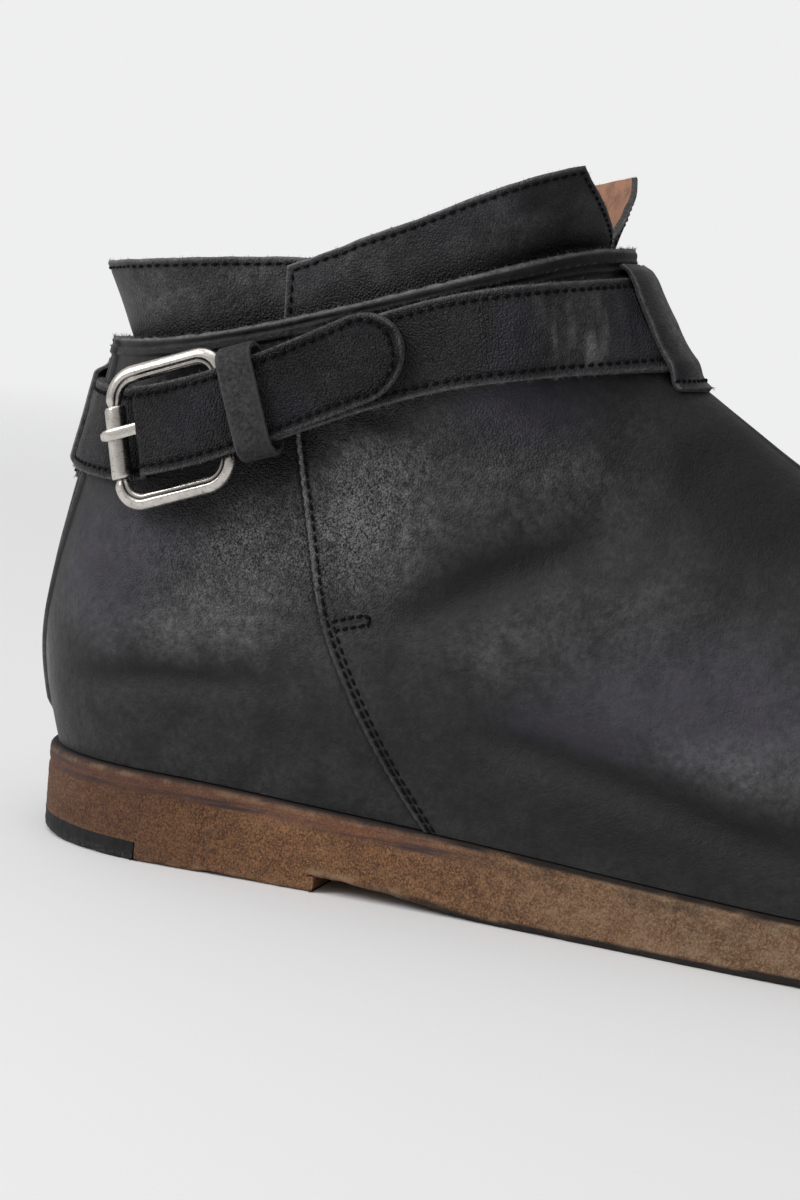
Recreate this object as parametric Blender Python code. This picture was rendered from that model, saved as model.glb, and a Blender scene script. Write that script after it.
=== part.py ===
"""A right-foot buckle ankle boot: leather upper, cut collar, ankle strap and stacked leather sole.

Sizes are in millimetres. x runs forward from the back of the sole, y to the inner side of the
foot and z up from the floor. The pieces hang on one empty under the heel's centre, in metres.
"""

import bmesh
import bpy
import numpy as np

MM = 0.001
GAP = 0.3
WELD = 0.002
SHARP_ANGLE = np.radians(40)
HEEL_CENTRE = 40.0


def table(columns, rows):
    return dict(zip(columns, np.array(rows, float).T))


# Upper: the last's sizes, from length, ball width, instep and heel height
UPPER_LENGTH = 296.0
WALL = 2.2
TOE_ROUND = 84.0
TOE_FULLNESS = 2.15
HEEL_FULLNESS = 2.2
CROWN_ROUND = 50.0
CROWN_FULLNESS = 2.3
SHAFT_MIDDLE = 98.0
SHAFT_EASE = 6.0
INSTEP_SWEEP = 636.0
SHAFT_ENDS = 105.0
FOREPART_STARTS = 160.0

# Half widths of the feather line from its axis, the axis' own bend and the sole's top
FOOT = table(
    ("x", "outer", "inner", "axis", "feather"),
    [
        (-4, 34.2, 34.2, 0.0, 18.4),
        (38, 33.2, 33.0, 0.0, 18.2),
        (70, 34.8, 32.4, 0.0, 16.7),
        (100, 37.4, 32.0, 0.2, 15.3),
        (130, 42.2, 34.6, 0.8, 13.8),
        (168, 49.2, 40.2, 2.2, 12.4),
        (200, 53.4, 44.6, 3.2, 12.3),
        (230, 54.8, 46.2, 4.2, 13.2),
        (262, 54.0, 46.0, 5.2, 16.0),
        (296, 53.0, 45.0, 6.0, 20.6),
    ],
)

# Height over the feather line of the vamp's crown and of the topline with its run to the toe
PROFILE = table(
    ("x", "vamp", "reach"),
    [
        (-4, 68.3, 83.2),
        (30, 68.3, 86.2),
        (55, 68.3, 93.5),
        (84, 68.3, 104.2),
        (100, 68.3, 110.7),
        (113, 68.3, 115.1),
        (122, 68.6, 113.0),
        (131.5, 69.2, 109.5),
        (149, 65.3, 104.0),
        (165, 59.9, 100.0),
        (202, 50.1, 92.0),
        (242, 40.2, 86.0),
        (274, 32.4, 80.0),
        (296, 28.7, 76.0),
    ],
)

# How full the arch of a cross section is, 2 being an ellipse
ARCH = table(
    ("x", "power"),
    [(-4, 2.2), (60, 2.0), (100, 1.8), (125, 1.7), (150, 1.8), (200, 1.9), (250, 2.3), (296, 2.5)],
)

# Back of the heel by level: 0 at the feather line, 1 at the topline
BACK = table(
    ("level", "x", "round"),
    [
        (0.0, 2.2, 37.0),
        (0.12, -0.6, 37.5),
        (0.25, -2.2, 38.0),
        (0.42, -1.1, 37.0),
        (0.65, 2.2, 36.0),
        (0.85, 5.8, 35.0),
        (1.0, 8.4, 34.0),
    ],
)

# How far the side wall stands out from the feather line by level
SIDE = table(
    ("level", "ankle", "forepart"),
    [
        (0.0, 0.0, 0.0),
        (0.15, 0.9, 0.9),
        (0.3, 0.8, 0.8),
        (0.5, -0.6, 0.0),
        (0.75, -2.2, 0.0),
        (1.0, -1.0, 0.0),
    ],
)

# Side seam: the vamp's edge laps over the quarter, and a strip covers the back seam
SEAM = table(
    ("z", "x"),
    [(13, 93.5), (24, 84.0), (40, 73.0), (54, 65.8), (67, 62.0), (84, 57.5), (100, 54.2), (124, 51.5)],
)
VAMP_RAISE = 0.7
STRIP_WIDTH = 10.0
STRIP_RAISE = 0.4
STRIP_LOW = 30.0
STEP_RUN = 0.5
LEVELS = 24
CROWDING = 0.45
QUARTER_COLUMNS = 9
VAMP_COLUMNS = 23

# Sole and heel
SOLE_EDGE = 1.5
SOLE_BEVEL = 0.8
SOLE_STATIONS = 40
BREAST = 70.0
TIP_FRONT = 31.2
LIFT_BACK = 4.1
LIFT_FRONT = 2.8
HEEL_WEAR = 1.0
WEAR_RUN = 15.0
WAIST_END = 112.0
SPRING_START = 203.0
TOE_SPRING = 8.6
INSOLE_THICK = 2.6
INSOLE_MARGIN = -(WALL + 0.5)

# Collar flaps: where each column stands along the topline, its top edge and its outward lean
COLLAR_THICK = 1.5
COLLAR_INSET = 3.0
COLLAR_TUCK = (0.92, 0.96, 1.0)
COLLAR_ROWS = (0.34, 0.67, 1.0)
REAR_COLLAR = table(
    ("x", "top", "lean", "inset"),
    [
        (8.4, 117.2, 6.8, 3.0),
        (20, 118.6, 6.0, 3.0),
        (34, 120.4, 3.8, 3.2),
        (48, 122.0, 1.2, 5.0),
        (62, 122.8, 1.0, 5.0),
    ],
)
FRONT_COLLAR = table(
    ("x", "outer", "inner", "lean"),
    [
        (51, 120.4, 120.4, 1.4),
        (65, 126.4, 126.4, 1.8),
        (79, 132.4, 133.4, 2.4),
        (92, 138.3, 141.0, 3.6),
        (104.2, 144.6, 144.6, 6.2),
    ],
)
NOTCH_TOP = 132.0
NOTCH_CLEAR = 1.6
REAR_COLLAR_COLUMNS = 11
FRONT_COLLAR_COLUMNS = 9
NOTCH_COLUMNS = 3

# Ankle strap: height of its middle, how far it stands off the upper, and the free end's turn
STRAP_WIDTH = 18.3
STRAP_THICK = 1.8
STRAP = table(
    ("x", "z"),
    [(-4, 84.8), (12, 83.8), (22, 84.1), (34, 87.7), (46, 92.6), (70, 103.2), (94, 111.2), (126, 116.0)],
)
STRAP_RUN = table(
    ("x", "lift"),
    [(-4, 0.8), (12, 0.6), (45, 0.6), (60, 1.0), (84, 1.1), (100, 1.3), (130, 1.4)],
)
STRAP_START = table(
    ("x", "lift"),
    [(46, 1.8), (58, 1.8), (70, 1.3), (84, 1.1), (100, 1.3), (130, 1.4)],
)
FREE_END = table(
    ("x", "lift", "rise"),
    [
        (-4, 0.8, 0.0),
        (8, 0.6, 0.0),
        (17, 0.5, 0.0),
        (22.4, 0.5, 0.0),
        (24.4, 0.9, 0.0),
        (26.4, 2.9, 0.0),
        (28.4, 5.1, 0.0),
        (30.4, 6.1, 0.0),
        (32, 6.3, 0.0),
        (37, 6.1, 0.1),
        (46, 5.2, 0.3),
        (58, 4.2, 0.6),
        (70, 3.8, 1.3),
        (80, 3.7, 1.9),
    ],
)
STRAP_START_X = 47.0
STRAP_TIP_X = 79.0
STRAP_COLUMNS = (24, 34, 36)
TIP_COLUMNS = 5
TIP_NARROW = 0.16
STRAP_SQUARE = 0.75

# Loops that hold the strap: lift over the upper along their length
LOOP_THICK = 1.1
LOOP_COLUMNS = 7
FRONT_LOOP_WIDTH = 21.0
FRONT_LOOP = table(
    ("z", "lift"),
    [(102.2, 1.5), (104.2, 1.6), (105.6, 3.5), (114.0, 5.2), (122.8, 4.2), (125.4, 3.3), (126.4, 1.0)],
)
BACK_LOOP_WIDTH = 15.0
BACK_LOOP = table(
    ("z", "lift"),
    [(72.2, 0.7), (73.8, 0.7), (75.0, 3.1), (84.8, 3.1), (94.4, 3.1), (95.8, 0.7), (97.4, 0.7)],
)

# Keeper beside the buckle
KEEPER_X = 48.3
KEEPER_LENGTH = 7.6
KEEPER_TILT = np.radians(5)
KEEPER_THICK = 1.1
KEEPER_UNDER = 1.45
KEEPER_OVER = 7.7
KEEPER_BELOW = -9.8
KEEPER_ABOVE = 10.6
KEEPER_ROUND = 1.0

# Buckle: the frame's bars, the roller on its rear bar and the prong on its front bar
BUCKLE_DROP = 1.2
BUCKLE_TURN = np.radians(4)
BUCKLE_LEAN = 0.08
ROLLER_BAR_X = 22.2
ROLLER_BAR_LIFT = 5.7
FRONT_BAR_X = 42.0
FRONT_BAR_LIFT = 2.8
BUCKLE_HEIGHT = 25.0
BUCKLE_CORNER = 4.6
BUCKLE_CORNER_STEPS = 7
BUCKLE_BAR = 3.4
BUCKLE_BAR_THICK = 2.8
BUCKLE_SIDES = 10
BAR_CORE = 1.0
ROLLER_BORE = 1.4
ROLLER_RADIUS = 2.1
ROLLER_LENGTH = 14.2
ROLLER_SIDES = 16
PRONG_WIDTH = 2.4
PRONG_THICK = 1.0
PRONG_EYE = 1.9
PRONG_EYE_TURNS = np.radians(np.linspace(-150, 90, 9))
PRONG_TIP = 2.3
PRONG_DROP = 0.6
PRONG_RAISE = 1.6
PRONG_CLEAR = 0.5
SLOT_ENDS = (9.0, -7.0)

# Colours as linear values, then roughness and metal
FINISHES = {
    "black_leather": ((0.016, 0.016, 0.018), 0.45, 0.0),
    "raw_leather": ((0.03, 0.03, 0.032), 0.8, 0.0),
    "sole_leather": ((0.19, 0.085, 0.042), 0.7, 0.0),
    "insole_leather": ((0.36, 0.2, 0.11), 0.7, 0.0),
    "rubber": ((0.01, 0.01, 0.011), 0.75, 0.0),
    "antique_nickel": ((0.56, 0.53, 0.49), 0.32, 1.0),
}


def along(rows, column, place):
    """A column's value at a place along the table's first column, on a natural cubic spline."""
    places = next(iter(rows.values()))
    values = rows[column]
    steps = np.diff(places)
    slopes = np.diff(values) / steps
    count = len(places)
    system = np.eye(count)
    right = np.zeros(count)
    for k in range(1, count - 1):
        system[k, k - 1 : k + 2] = steps[k - 1], 2 * (steps[k - 1] + steps[k]), steps[k]
        right[k] = 6 * (slopes[k] - slopes[k - 1])
    bends = np.linalg.solve(system, right)
    place = np.clip(place, places[0], places[-1])
    k = np.clip(np.searchsorted(places, place) - 1, 0, count - 2)
    low = (places[k + 1] - place) / steps[k]
    high = 1 - low
    curve = (low**3 - low) * bends[k] + (high**3 - high) * bends[k + 1]
    return low * values[k] + high * values[k + 1] + curve * steps[k] ** 2 / 6


def straight(rows, column, place):
    """A column's value at a place along the table's first column, on straight lines."""
    return np.interp(place, next(iter(rows.values())), rows[column])


def eased(place):
    place = np.clip(place, 0, 1)
    return place * place * (3 - 2 * place)


def rounded(part, fullness):
    """A rounded end: 0 at its tip and 1 from its full width on."""
    return (1 - (1 - np.clip(part, 0, 1)) ** fullness) ** (1 / fullness)


def unit(vectors):
    return vectors / np.maximum(np.linalg.norm(vectors, axis=-1, keepdims=True), 1e-9)


# Shape of the last

def peak(x):
    """The level at which the two sides meet on the crown; no crown closes the shaft."""
    ahead = SHAFT_EASE * np.logaddexp(0, (x - SHAFT_MIDDLE) / SHAFT_EASE)
    crown = along(PROFILE, "vamp", x) + INSTEP_SWEEP / ahead
    crown = crown * rounded((UPPER_LENGTH - x) / CROWN_ROUND, CROWN_FULLNESS)
    return crown / along(PROFILE, "reach", x)


def half_width(x, level, side):
    toe = rounded((UPPER_LENGTH - x) / TOE_ROUND, TOE_FULLNESS)
    shaft = 1 - eased((x - SHAFT_ENDS) / (FOREPART_STARTS - SHAFT_ENDS))
    width = along(FOOT, side, x) * toe + shaft * along(SIDE, "ankle", level)
    width = width + (1 - shaft) * along(SIDE, "forepart", level) * toe
    heel = rounded((x - along(BACK, "x", level)) / along(BACK, "round", level), HEEL_FULLNESS)
    closing = np.clip(level / np.maximum(peak(x), 1e-6), 0, 1)
    return width * heel * np.sqrt(1 - closing ** along(ARCH, "power", x))


def on_last(x, level, side):
    """Points of the upper's outer face at lengths x and levels 0 to 1 on one side of the foot."""
    sign = -1 if side == "outer" else 1
    y = along(FOOT, "axis", x) + sign * half_width(x, level, side)
    z = along(FOOT, "feather", x) + level * along(PROFILE, "reach", x)
    return np.stack([x, y, z], axis=-1)


def level_at(x, z):
    return (z - along(FOOT, "feather", x)) / along(PROFILE, "reach", x)


def girth(level, side, count=400):
    """A fine line round one side of the upper, from back to front, at the levels level(x)."""
    x = np.arange(-4, UPPER_LENGTH + 0.01, 0.05)
    found = level(x)
    inside = np.flatnonzero((x >= along(BACK, "x", found)) & (found <= peak(x)))
    back, front = x[inside[0]], x[inside[-1]]
    x = back + (front - back) * (1 - np.cos(np.linspace(0, np.pi, count))) / 2
    line = on_last(x, level(x), side)
    line[[0, -1], 1] = along(FOOT, "axis", x[[0, -1]])
    return line


def flat_level(level):
    return lambda x: np.full_like(x, level)


def run_of(line):
    return np.concatenate([[0], np.cumsum(np.linalg.norm(np.diff(line, axis=0), axis=1))])


def at(line, distances):
    run = run_of(line)
    return np.stack([np.interp(distances, run, line[:, k]) for k in range(3)], axis=-1)


def share_at_x(line, x):
    """How far along a line from back to front a length x lies, from 0 to 1."""
    run = run_of(line)
    return np.interp(x, line[:, 0], run) / run[-1]


def facing(grid, wrap):
    """Unit normals of a grid of points, with rows going up and columns going round the outside."""
    if wrap:
        across = np.roll(grid, -1, axis=1) - np.roll(grid, 1, axis=1)
    else:
        across = np.gradient(grid, axis=1)
    return unit(np.cross(across, np.gradient(grid, axis=0)))


# Meshes

def finish(name, kind):
    material = bpy.data.materials.new(name)
    material.use_nodes = True
    shader = material.node_tree.nodes["Principled BSDF"]
    colour, roughness, metal = FINISHES[kind]
    shader.inputs["Base Color"].default_value = (*colour, 1)
    shader.inputs["Roughness"].default_value = roughness
    shader.inputs["Metallic"].default_value = metal
    return material


def piece(name, points, faces, kind):
    """One closed mesh object from points in millimetres, its faces turned outwards."""
    shape = bmesh.new()
    corners = [shape.verts.new(point * MM) for point in points]
    for face in faces:
        shape.faces.new([corners[k] for k in face])
    bmesh.ops.remove_doubles(shape, verts=shape.verts, dist=WELD * MM)
    bmesh.ops.recalc_face_normals(shape, faces=shape.faces)
    if shape.calc_volume(signed=True) < 0:
        bmesh.ops.reverse_faces(shape, faces=shape.faces)
    mesh = bpy.data.meshes.new(name)
    shape.to_mesh(mesh)
    shape.free()
    mesh.shade_smooth()
    mesh.set_sharp_from_angle(angle=SHARP_ANGLE)
    mesh.materials.append(finish(name, kind))
    made = bpy.data.objects.new(name, mesh)
    made.parent = boot
    bpy.context.collection.objects.link(made)
    return made


def strip(first, second, closed):
    """Four-sided faces between two lines of point numbers."""
    count = len(first)
    return [
        (first[k], first[(k + 1) % count], second[(k + 1) % count], second[k])
        for k in range(count if closed else count - 1)
    ]


def shell(name, outer, inner, wrap, kind):
    """A solid between two grids of the same size, closed round its edges."""
    rows, columns = outer.shape[:2]
    points = np.concatenate([outer.reshape(-1, 3), inner.reshape(-1, 3)])
    skin, lining = np.arange(2 * rows * columns).reshape(2, rows, columns)
    faces = strip(lining[0], skin[0], wrap) + strip(skin[-1], lining[-1], wrap)
    for k in range(rows - 1):
        faces += strip(skin[k], skin[k + 1], wrap) + strip(lining[k + 1], lining[k], wrap)
    if not wrap:
        faces += strip(skin[:, 0], lining[:, 0], False) + strip(lining[:, -1], skin[:, -1], False)
    return piece(name, points, faces, kind)


def ring(name, sections, kind):
    """A closed ring swept through a closed section at each of its stations."""
    stations, size = sections.shape[:2]
    numbers = np.arange(stations * size).reshape(stations, size)
    faces = []
    for k in range(stations):
        faces += strip(numbers[k], numbers[(k + 1) % stations], True)
    return piece(name, sections.reshape(-1, 3), faces, kind)


def slab(name, rings, kind):
    """A flat solid from rings given top to bottom, each an outer-side and an inner-side line."""
    loops = [np.concatenate([outer, inner[::-1]]) for outer, inner in rings]
    size = len(loops[0])
    numbers = np.arange(len(loops) * size).reshape(len(loops), size)
    faces = []
    for k in range(len(loops) - 1):
        faces += strip(numbers[k], numbers[k + 1], True)
    half = size // 2
    for loop in (numbers[0], numbers[-1]):
        faces += strip(loop[:half], loop[: half - 1 : -1], False)
    return piece(name, np.concatenate(loops), faces, kind)


# Sole

def tread(x):
    """Height of the outsole's underside."""
    heel = LIFT_BACK + (LIFT_FRONT - LIFT_BACK) * np.clip(x / BREAST, 0, 1) + GAP
    waist = 1 - eased((x - BREAST) / (WAIST_END - BREAST))
    spring = np.maximum(x - SPRING_START, 0) / (UPPER_LENGTH - SPRING_START)
    return heel * waist + TOE_SPRING * spring**2


def sole_top(x):
    return along(FOOT, "feather", x) - GAP


def outline(margin, start, end, height, spread):
    """Both sides of the sole's outline, a margin out from the feather line, between two lengths."""
    lines = {}
    for side in ("outer", "inner"):
        line = girth(flat_level(0.0), side)[:, :2]
        run = np.gradient(line, axis=0)
        turn = 1 if side == "outer" else -1
        line = line + margin * turn * unit(np.stack([run[:, 1], -run[:, 0]], axis=-1))
        lines[side] = line
    tips = lines["outer"][[0, -1]]
    first = max(start, tips[0, 0])
    last = min(end, tips[1, 0])
    x = first + (last - first) * spread
    sides = []
    for line in lines.values():
        y = np.interp(x, line[:, 0], line[:, 1])
        sides.append(np.stack([x, y, height(x)], axis=-1))
    for station, tip in ((0, tips[0]), (-1, tips[1])):
        if abs(x[station] - tip[0]) < 1e-6:
            for line in sides:
                line[station, 1] = tip[1]
    return sides


def build_sole():
    whole = (1 - np.cos(np.linspace(0, np.pi, SOLE_STATIONS))) / 2
    everywhere = (-1e3, 1e3)
    edges = [
        (SOLE_EDGE - SOLE_BEVEL, sole_top),
        (SOLE_EDGE, lambda x: sole_top(x) - SOLE_BEVEL),
        (SOLE_EDGE, lambda x: tread(x) + SOLE_BEVEL),
        (SOLE_EDGE - SOLE_BEVEL, tread),
    ]
    rings = [outline(margin, *everywhere, height, whole) for margin, height in edges]
    slab("outsole", rings, "sole_leather")

    def lift_top(x):
        return tread(x) - GAP

    def floor(x):
        return HEEL_WEAR * np.clip(1 - x / WEAR_RUN, 0, 1) ** 2

    blocks = [
        ("heel_lift", TIP_FRONT + GAP / 2, BREAST, np.linspace(0, 1, 12), "sole_leather"),
        ("heel_tip", -1e3, TIP_FRONT - GAP / 2, 1 - np.cos(np.linspace(0, np.pi / 2, 12)), "rubber"),
    ]
    for name, start, end, spread, look in blocks:
        rings = [outline(SOLE_EDGE, start, end, height, spread) for height in (lift_top, floor)]
        slab(name, rings, look)

    def insole_top(x):
        return along(FOOT, "feather", x) + INSOLE_THICK

    heights = (insole_top, lambda x: along(FOOT, "feather", x))
    rings = [outline(INSOLE_MARGIN, *everywhere, height, whole) for height in heights]
    slab("insole", rings, "insole_leather")


# Upper

def upper_ring(level):
    """One ring of the upper: back strip, quarter, seam and vamp on the outer side, then the inner."""
    halves = []
    for side in ("outer", "inner"):
        line = girth(flat_level(level), side)
        run = run_of(line)
        seam = np.interp(0, line[:, 0] - along(SEAM, "x", line[:, 2]), run)
        beside_strip = STRIP_WIDTH / 2 + STEP_RUN
        stops = [0, STRIP_WIDTH / 2]
        stops.extend(np.linspace(beside_strip, seam, QUARTER_COLUMNS + 1))
        stops.extend(np.linspace(seam + STEP_RUN, run[-1], VAMP_COLUMNS + 1))
        halves.append(at(line, stops))
    return np.concatenate([halves[0], halves[1][-2:0:-1]])


def build_upper():
    part = np.linspace(0, 1, LEVELS)
    grid = np.stack([upper_ring(level) for level in part + CROWDING * part * (1 - part)])
    normals = facing(grid, wrap=True)
    raised = np.zeros(grid.shape[:2])
    vamp = QUARTER_COLUMNS + 3
    raised[:, vamp : grid.shape[1] - vamp + 1] = VAMP_RAISE
    strip = grid[:, 0, 2] > STRIP_LOW
    for column in (-1, 0, 1):
        raised[strip, column] = STRIP_RAISE
    outer = grid + raised[..., None] * normals
    inner = grid - WALL * normals
    for face in (outer, inner):
        face[0, :, 2] = along(FOOT, "feather", face[0, :, 0])
    shell("upper", outer, inner, True, "black_leather")


# Collar

def collar_base(columns):
    """Topline points, outward directions in plan, and the tucked rows, for (side, share) columns."""
    rows = []
    for level in COLLAR_TUCK:
        lines = {side: girth(flat_level(level), side) for side in ("outer", "inner")}
        rows.append([at(lines[side], share * run_of(lines[side])[-1]) for side, share in columns])
    rows = np.array(rows)
    across = np.gradient(rows[-1], axis=0)
    out = unit(np.stack([across[:, 1], -across[:, 0], np.zeros(len(across))], axis=-1))
    return rows, out


def build_collar(name, columns, tops, leans, insets):
    rows, out = collar_base(columns)
    topline = rows[-1]
    up = np.array([0, 0, 1.0])
    free = []
    for part in COLLAR_ROWS:
        rise = part * (tops - topline[:, 2])
        free.append(topline + rise[:, None] * up + (leans * part**1.5)[:, None] * out)
    grid = np.concatenate([rows, free])
    outer = grid - insets[:, None] * out
    inner = outer - COLLAR_THICK * out
    shell(name, outer, inner, False, "black_leather")


def build_collars():
    topline = {side: girth(flat_level(1.0), side) for side in ("outer", "inner")}
    parts = np.linspace(0, 1, REAR_COLLAR_COLUMNS)
    columns = []
    for side, order in (("inner", parts[:0:-1]), ("outer", parts)):
        end = share_at_x(topline[side], REAR_COLLAR["x"][-1])
        columns += [(side, end * part) for part in order]
    x = [at(topline[side], share * run_of(topline[side])[-1])[0] for side, share in columns]
    build_collar("rear_collar", columns, *(straight(REAR_COLLAR, c, x) for c in ("top", "lean", "inset")))

    x = np.linspace(FRONT_COLLAR["x"][0], FRONT_COLLAR["x"][-1], FRONT_COLLAR_COLUMNS)
    notch = np.linspace(0, 1, NOTCH_COLUMNS + 1)[1:]
    for side, line in topline.items():
        shares = share_at_x(line, x)
        tops = straight(FRONT_COLLAR, side, x)
        leans = straight(FRONT_COLLAR, "lean", x)
        last = 1 - NOTCH_CLEAR / run_of(line)[-1]
        shares = np.append(shares, shares[-1] + notch * (last - shares[-1]))
        tops = np.append(tops, tops[-1] + notch * (NOTCH_TOP - tops[-1]))
        leans = np.append(leans, leans[-1] * (1 - notch))
        order = slice(None) if side == "outer" else slice(None, None, -1)
        columns = [(side, share) for share in shares[order]]
        insets = np.full(len(columns), COLLAR_INSET)
        build_collar(f"{side}_front_collar", columns, tops[order], leans[order], insets)


# Strap and what holds it

def strap_lines():
    """Lower edge, middle and upper edge of the strap's path on the upper, for both sides."""
    lines = {}
    for side in ("outer", "inner"):
        lines[side] = []
        for shift in (-STRAP_WIDTH / 2, 0, STRAP_WIDTH / 2):
            lines[side].append(girth(lambda x: level_at(x, along(STRAP, "z", x) + shift), side))
    return lines


def strap_grid(columns):
    """Points across the strap for (side, share) columns, each turned part of the way square to it."""
    lines = strap_lines()
    grid = np.zeros((3, len(columns), 3))
    for k, (side, share) in enumerate(columns):
        middle = lines[side][1]
        length = run_of(middle)[-1]
        point, before, ahead = (at(middle, share * length + step) for step in (0, -1, 1))
        for row, line in enumerate(lines[side]):
            shares = run_of(line) / run_of(line)[-1]
            near = np.abs(shares - share) < 0.2
            square = np.interp(0, (line[near] - point) @ (ahead - before), shares[near])
            turned_share = share + STRAP_SQUARE * (square - share)
            grid[row, k] = at(line, turned_share * run_of(line)[-1])
    return grid


def build_strap():
    middle = {side: lines[1] for side, lines in strap_lines().items()}
    start = share_at_x(middle["outer"], STRAP_START_X)
    turn = share_at_x(middle["outer"], STRAP_TIP_X - STRAP_WIDTH / 2)
    tip = share_at_x(middle["outer"], STRAP_TIP_X)
    ahead, behind, free = STRAP_COLUMNS
    columns = [("outer", share) for share in np.linspace(start, 1, ahead)]
    columns += [("inner", share) for share in np.linspace(1, 0, behind)[1:]]
    columns += [("outer", share) for share in np.linspace(0, turn, free)[1:]]
    rounding = np.sin(np.linspace(0, np.pi / 2, TIP_COLUMNS + 1))[1:]
    columns += [("outer", turn + part * (tip - turn)) for part in rounding]
    grid = strap_grid(columns)
    x = grid[1, :, 0]
    lift = along(STRAP_RUN, "lift", x)
    lift[:ahead] = along(STRAP_START, "lift", x[:ahead])
    last = slice(ahead + behind - 1, None)
    lift[last] = along(FREE_END, "lift", x[last])
    upward = unit(grid[2] - grid[0])
    grid[:, last] += along(FREE_END, "rise", x[last])[:, None] * upward[last]
    for k, part in enumerate(rounding):
        narrow = max(np.sqrt(1 - part**2), TIP_NARROW)
        column = grid[:, len(columns) - TIP_COLUMNS + k]
        column[[0, 2]] = column[1] + narrow * (column[[0, 2]] - column[1])
    normals = facing(grid, wrap=False)
    hollow = np.sum(((grid[0] + grid[2]) / 2 - grid[1]) * normals[1], axis=-1)
    lift = np.stack([lift, lift + np.maximum(hollow, 0), lift])
    inner = grid + lift[..., None] * normals
    outer = inner + STRAP_THICK * normals
    return shell("strap", outer, inner, False, "black_leather")


def strap_frame(x):
    """A point on the outer side of the strap's path with its forward, upward and outward axes."""
    lines = strap_lines()["outer"]
    share = share_at_x(lines[1], x)
    point, ahead = (at(lines[1], (share + step) * run_of(lines[1])[-1]) for step in (0, 0.01))
    low, high = (at(lines[row], share * run_of(lines[row])[-1]) for row in (0, 2))
    forward = unit(ahead - point)
    upward = unit(high - low)
    upward = unit(upward - forward * (upward @ forward))
    return point, forward, upward, np.cross(forward, upward)


def build_loops():
    half = np.linspace(0, 1, LOOP_COLUMNS // 2 + 1)
    rows = []
    for z in FRONT_LOOP["z"]:
        points = []
        for side, parts in (("outer", half[::-1]), ("inner", half[1:])):
            line = girth(lambda x: level_at(x, z), side)
            points.extend(at(line, run_of(line)[-1] - parts * FRONT_LOOP_WIDTH / 2))
        rows.append(points)
    grid = np.array(rows)
    normals = facing(grid, wrap=False)
    inner = grid + FRONT_LOOP["lift"][:, None, None] * normals
    shell("front_loop", inner + LOOP_THICK * normals, inner, False, "black_leather")

    rows = []
    for z in BACK_LOOP["z"]:
        points = []
        for side, parts in (("inner", half[::-1]), ("outer", half[1:])):
            line = girth(lambda x: level_at(x, z), side)
            points.extend(at(line, parts * BACK_LOOP_WIDTH / 2))
        rows.append(points)
    grid = np.array(rows)
    normals = facing(grid, wrap=False)
    inner = grid + BACK_LOOP["lift"][:, None, None] * normals
    shell("back_loop", inner + LOOP_THICK * normals, inner, False, "black_leather")


def turned(forward, upward, angle):
    """Two axes turned in their own plane, forward towards upward."""
    return (
        np.cos(angle) * forward + np.sin(angle) * upward,
        np.cos(angle) * upward - np.sin(angle) * forward,
    )


def rounded_box(low, high, radius, steps):
    """Points round a box with round corners, anticlockwise."""
    centres = [
        (high[0] - radius, low[1] + radius),
        (high[0] - radius, high[1] - radius),
        (low[0] + radius, high[1] - radius),
        (low[0] + radius, low[1] + radius),
    ]
    points = []
    for quarter, centre in enumerate(centres):
        turns = np.linspace(quarter - 1, quarter, steps) * np.pi / 2
        points.append(centre + radius * np.stack([np.cos(turns), np.sin(turns)], axis=-1))
    return np.concatenate(points)


def build_keeper():
    point, forward, upward, outward = strap_frame(KEEPER_X)
    forward, upward = turned(forward, upward, -KEEPER_TILT)
    axes = np.stack([outward, upward])
    low = np.array([KEEPER_UNDER, KEEPER_BELOW])
    high = np.array([KEEPER_OVER, KEEPER_ABOVE])
    bore = rounded_box(low, high, KEEPER_ROUND, 4)
    skin = rounded_box(low - KEEPER_THICK, high + KEEPER_THICK, KEEPER_ROUND + KEEPER_THICK, 4)
    ends = [sign * KEEPER_LENGTH / 2 * forward for sign in (-1, 1)]
    skin, bore = (np.stack([point + loop @ axes + end for end in ends]) for loop in (skin, bore))
    shell("keeper", skin, bore, True, "raw_leather")


# Buckle

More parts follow.
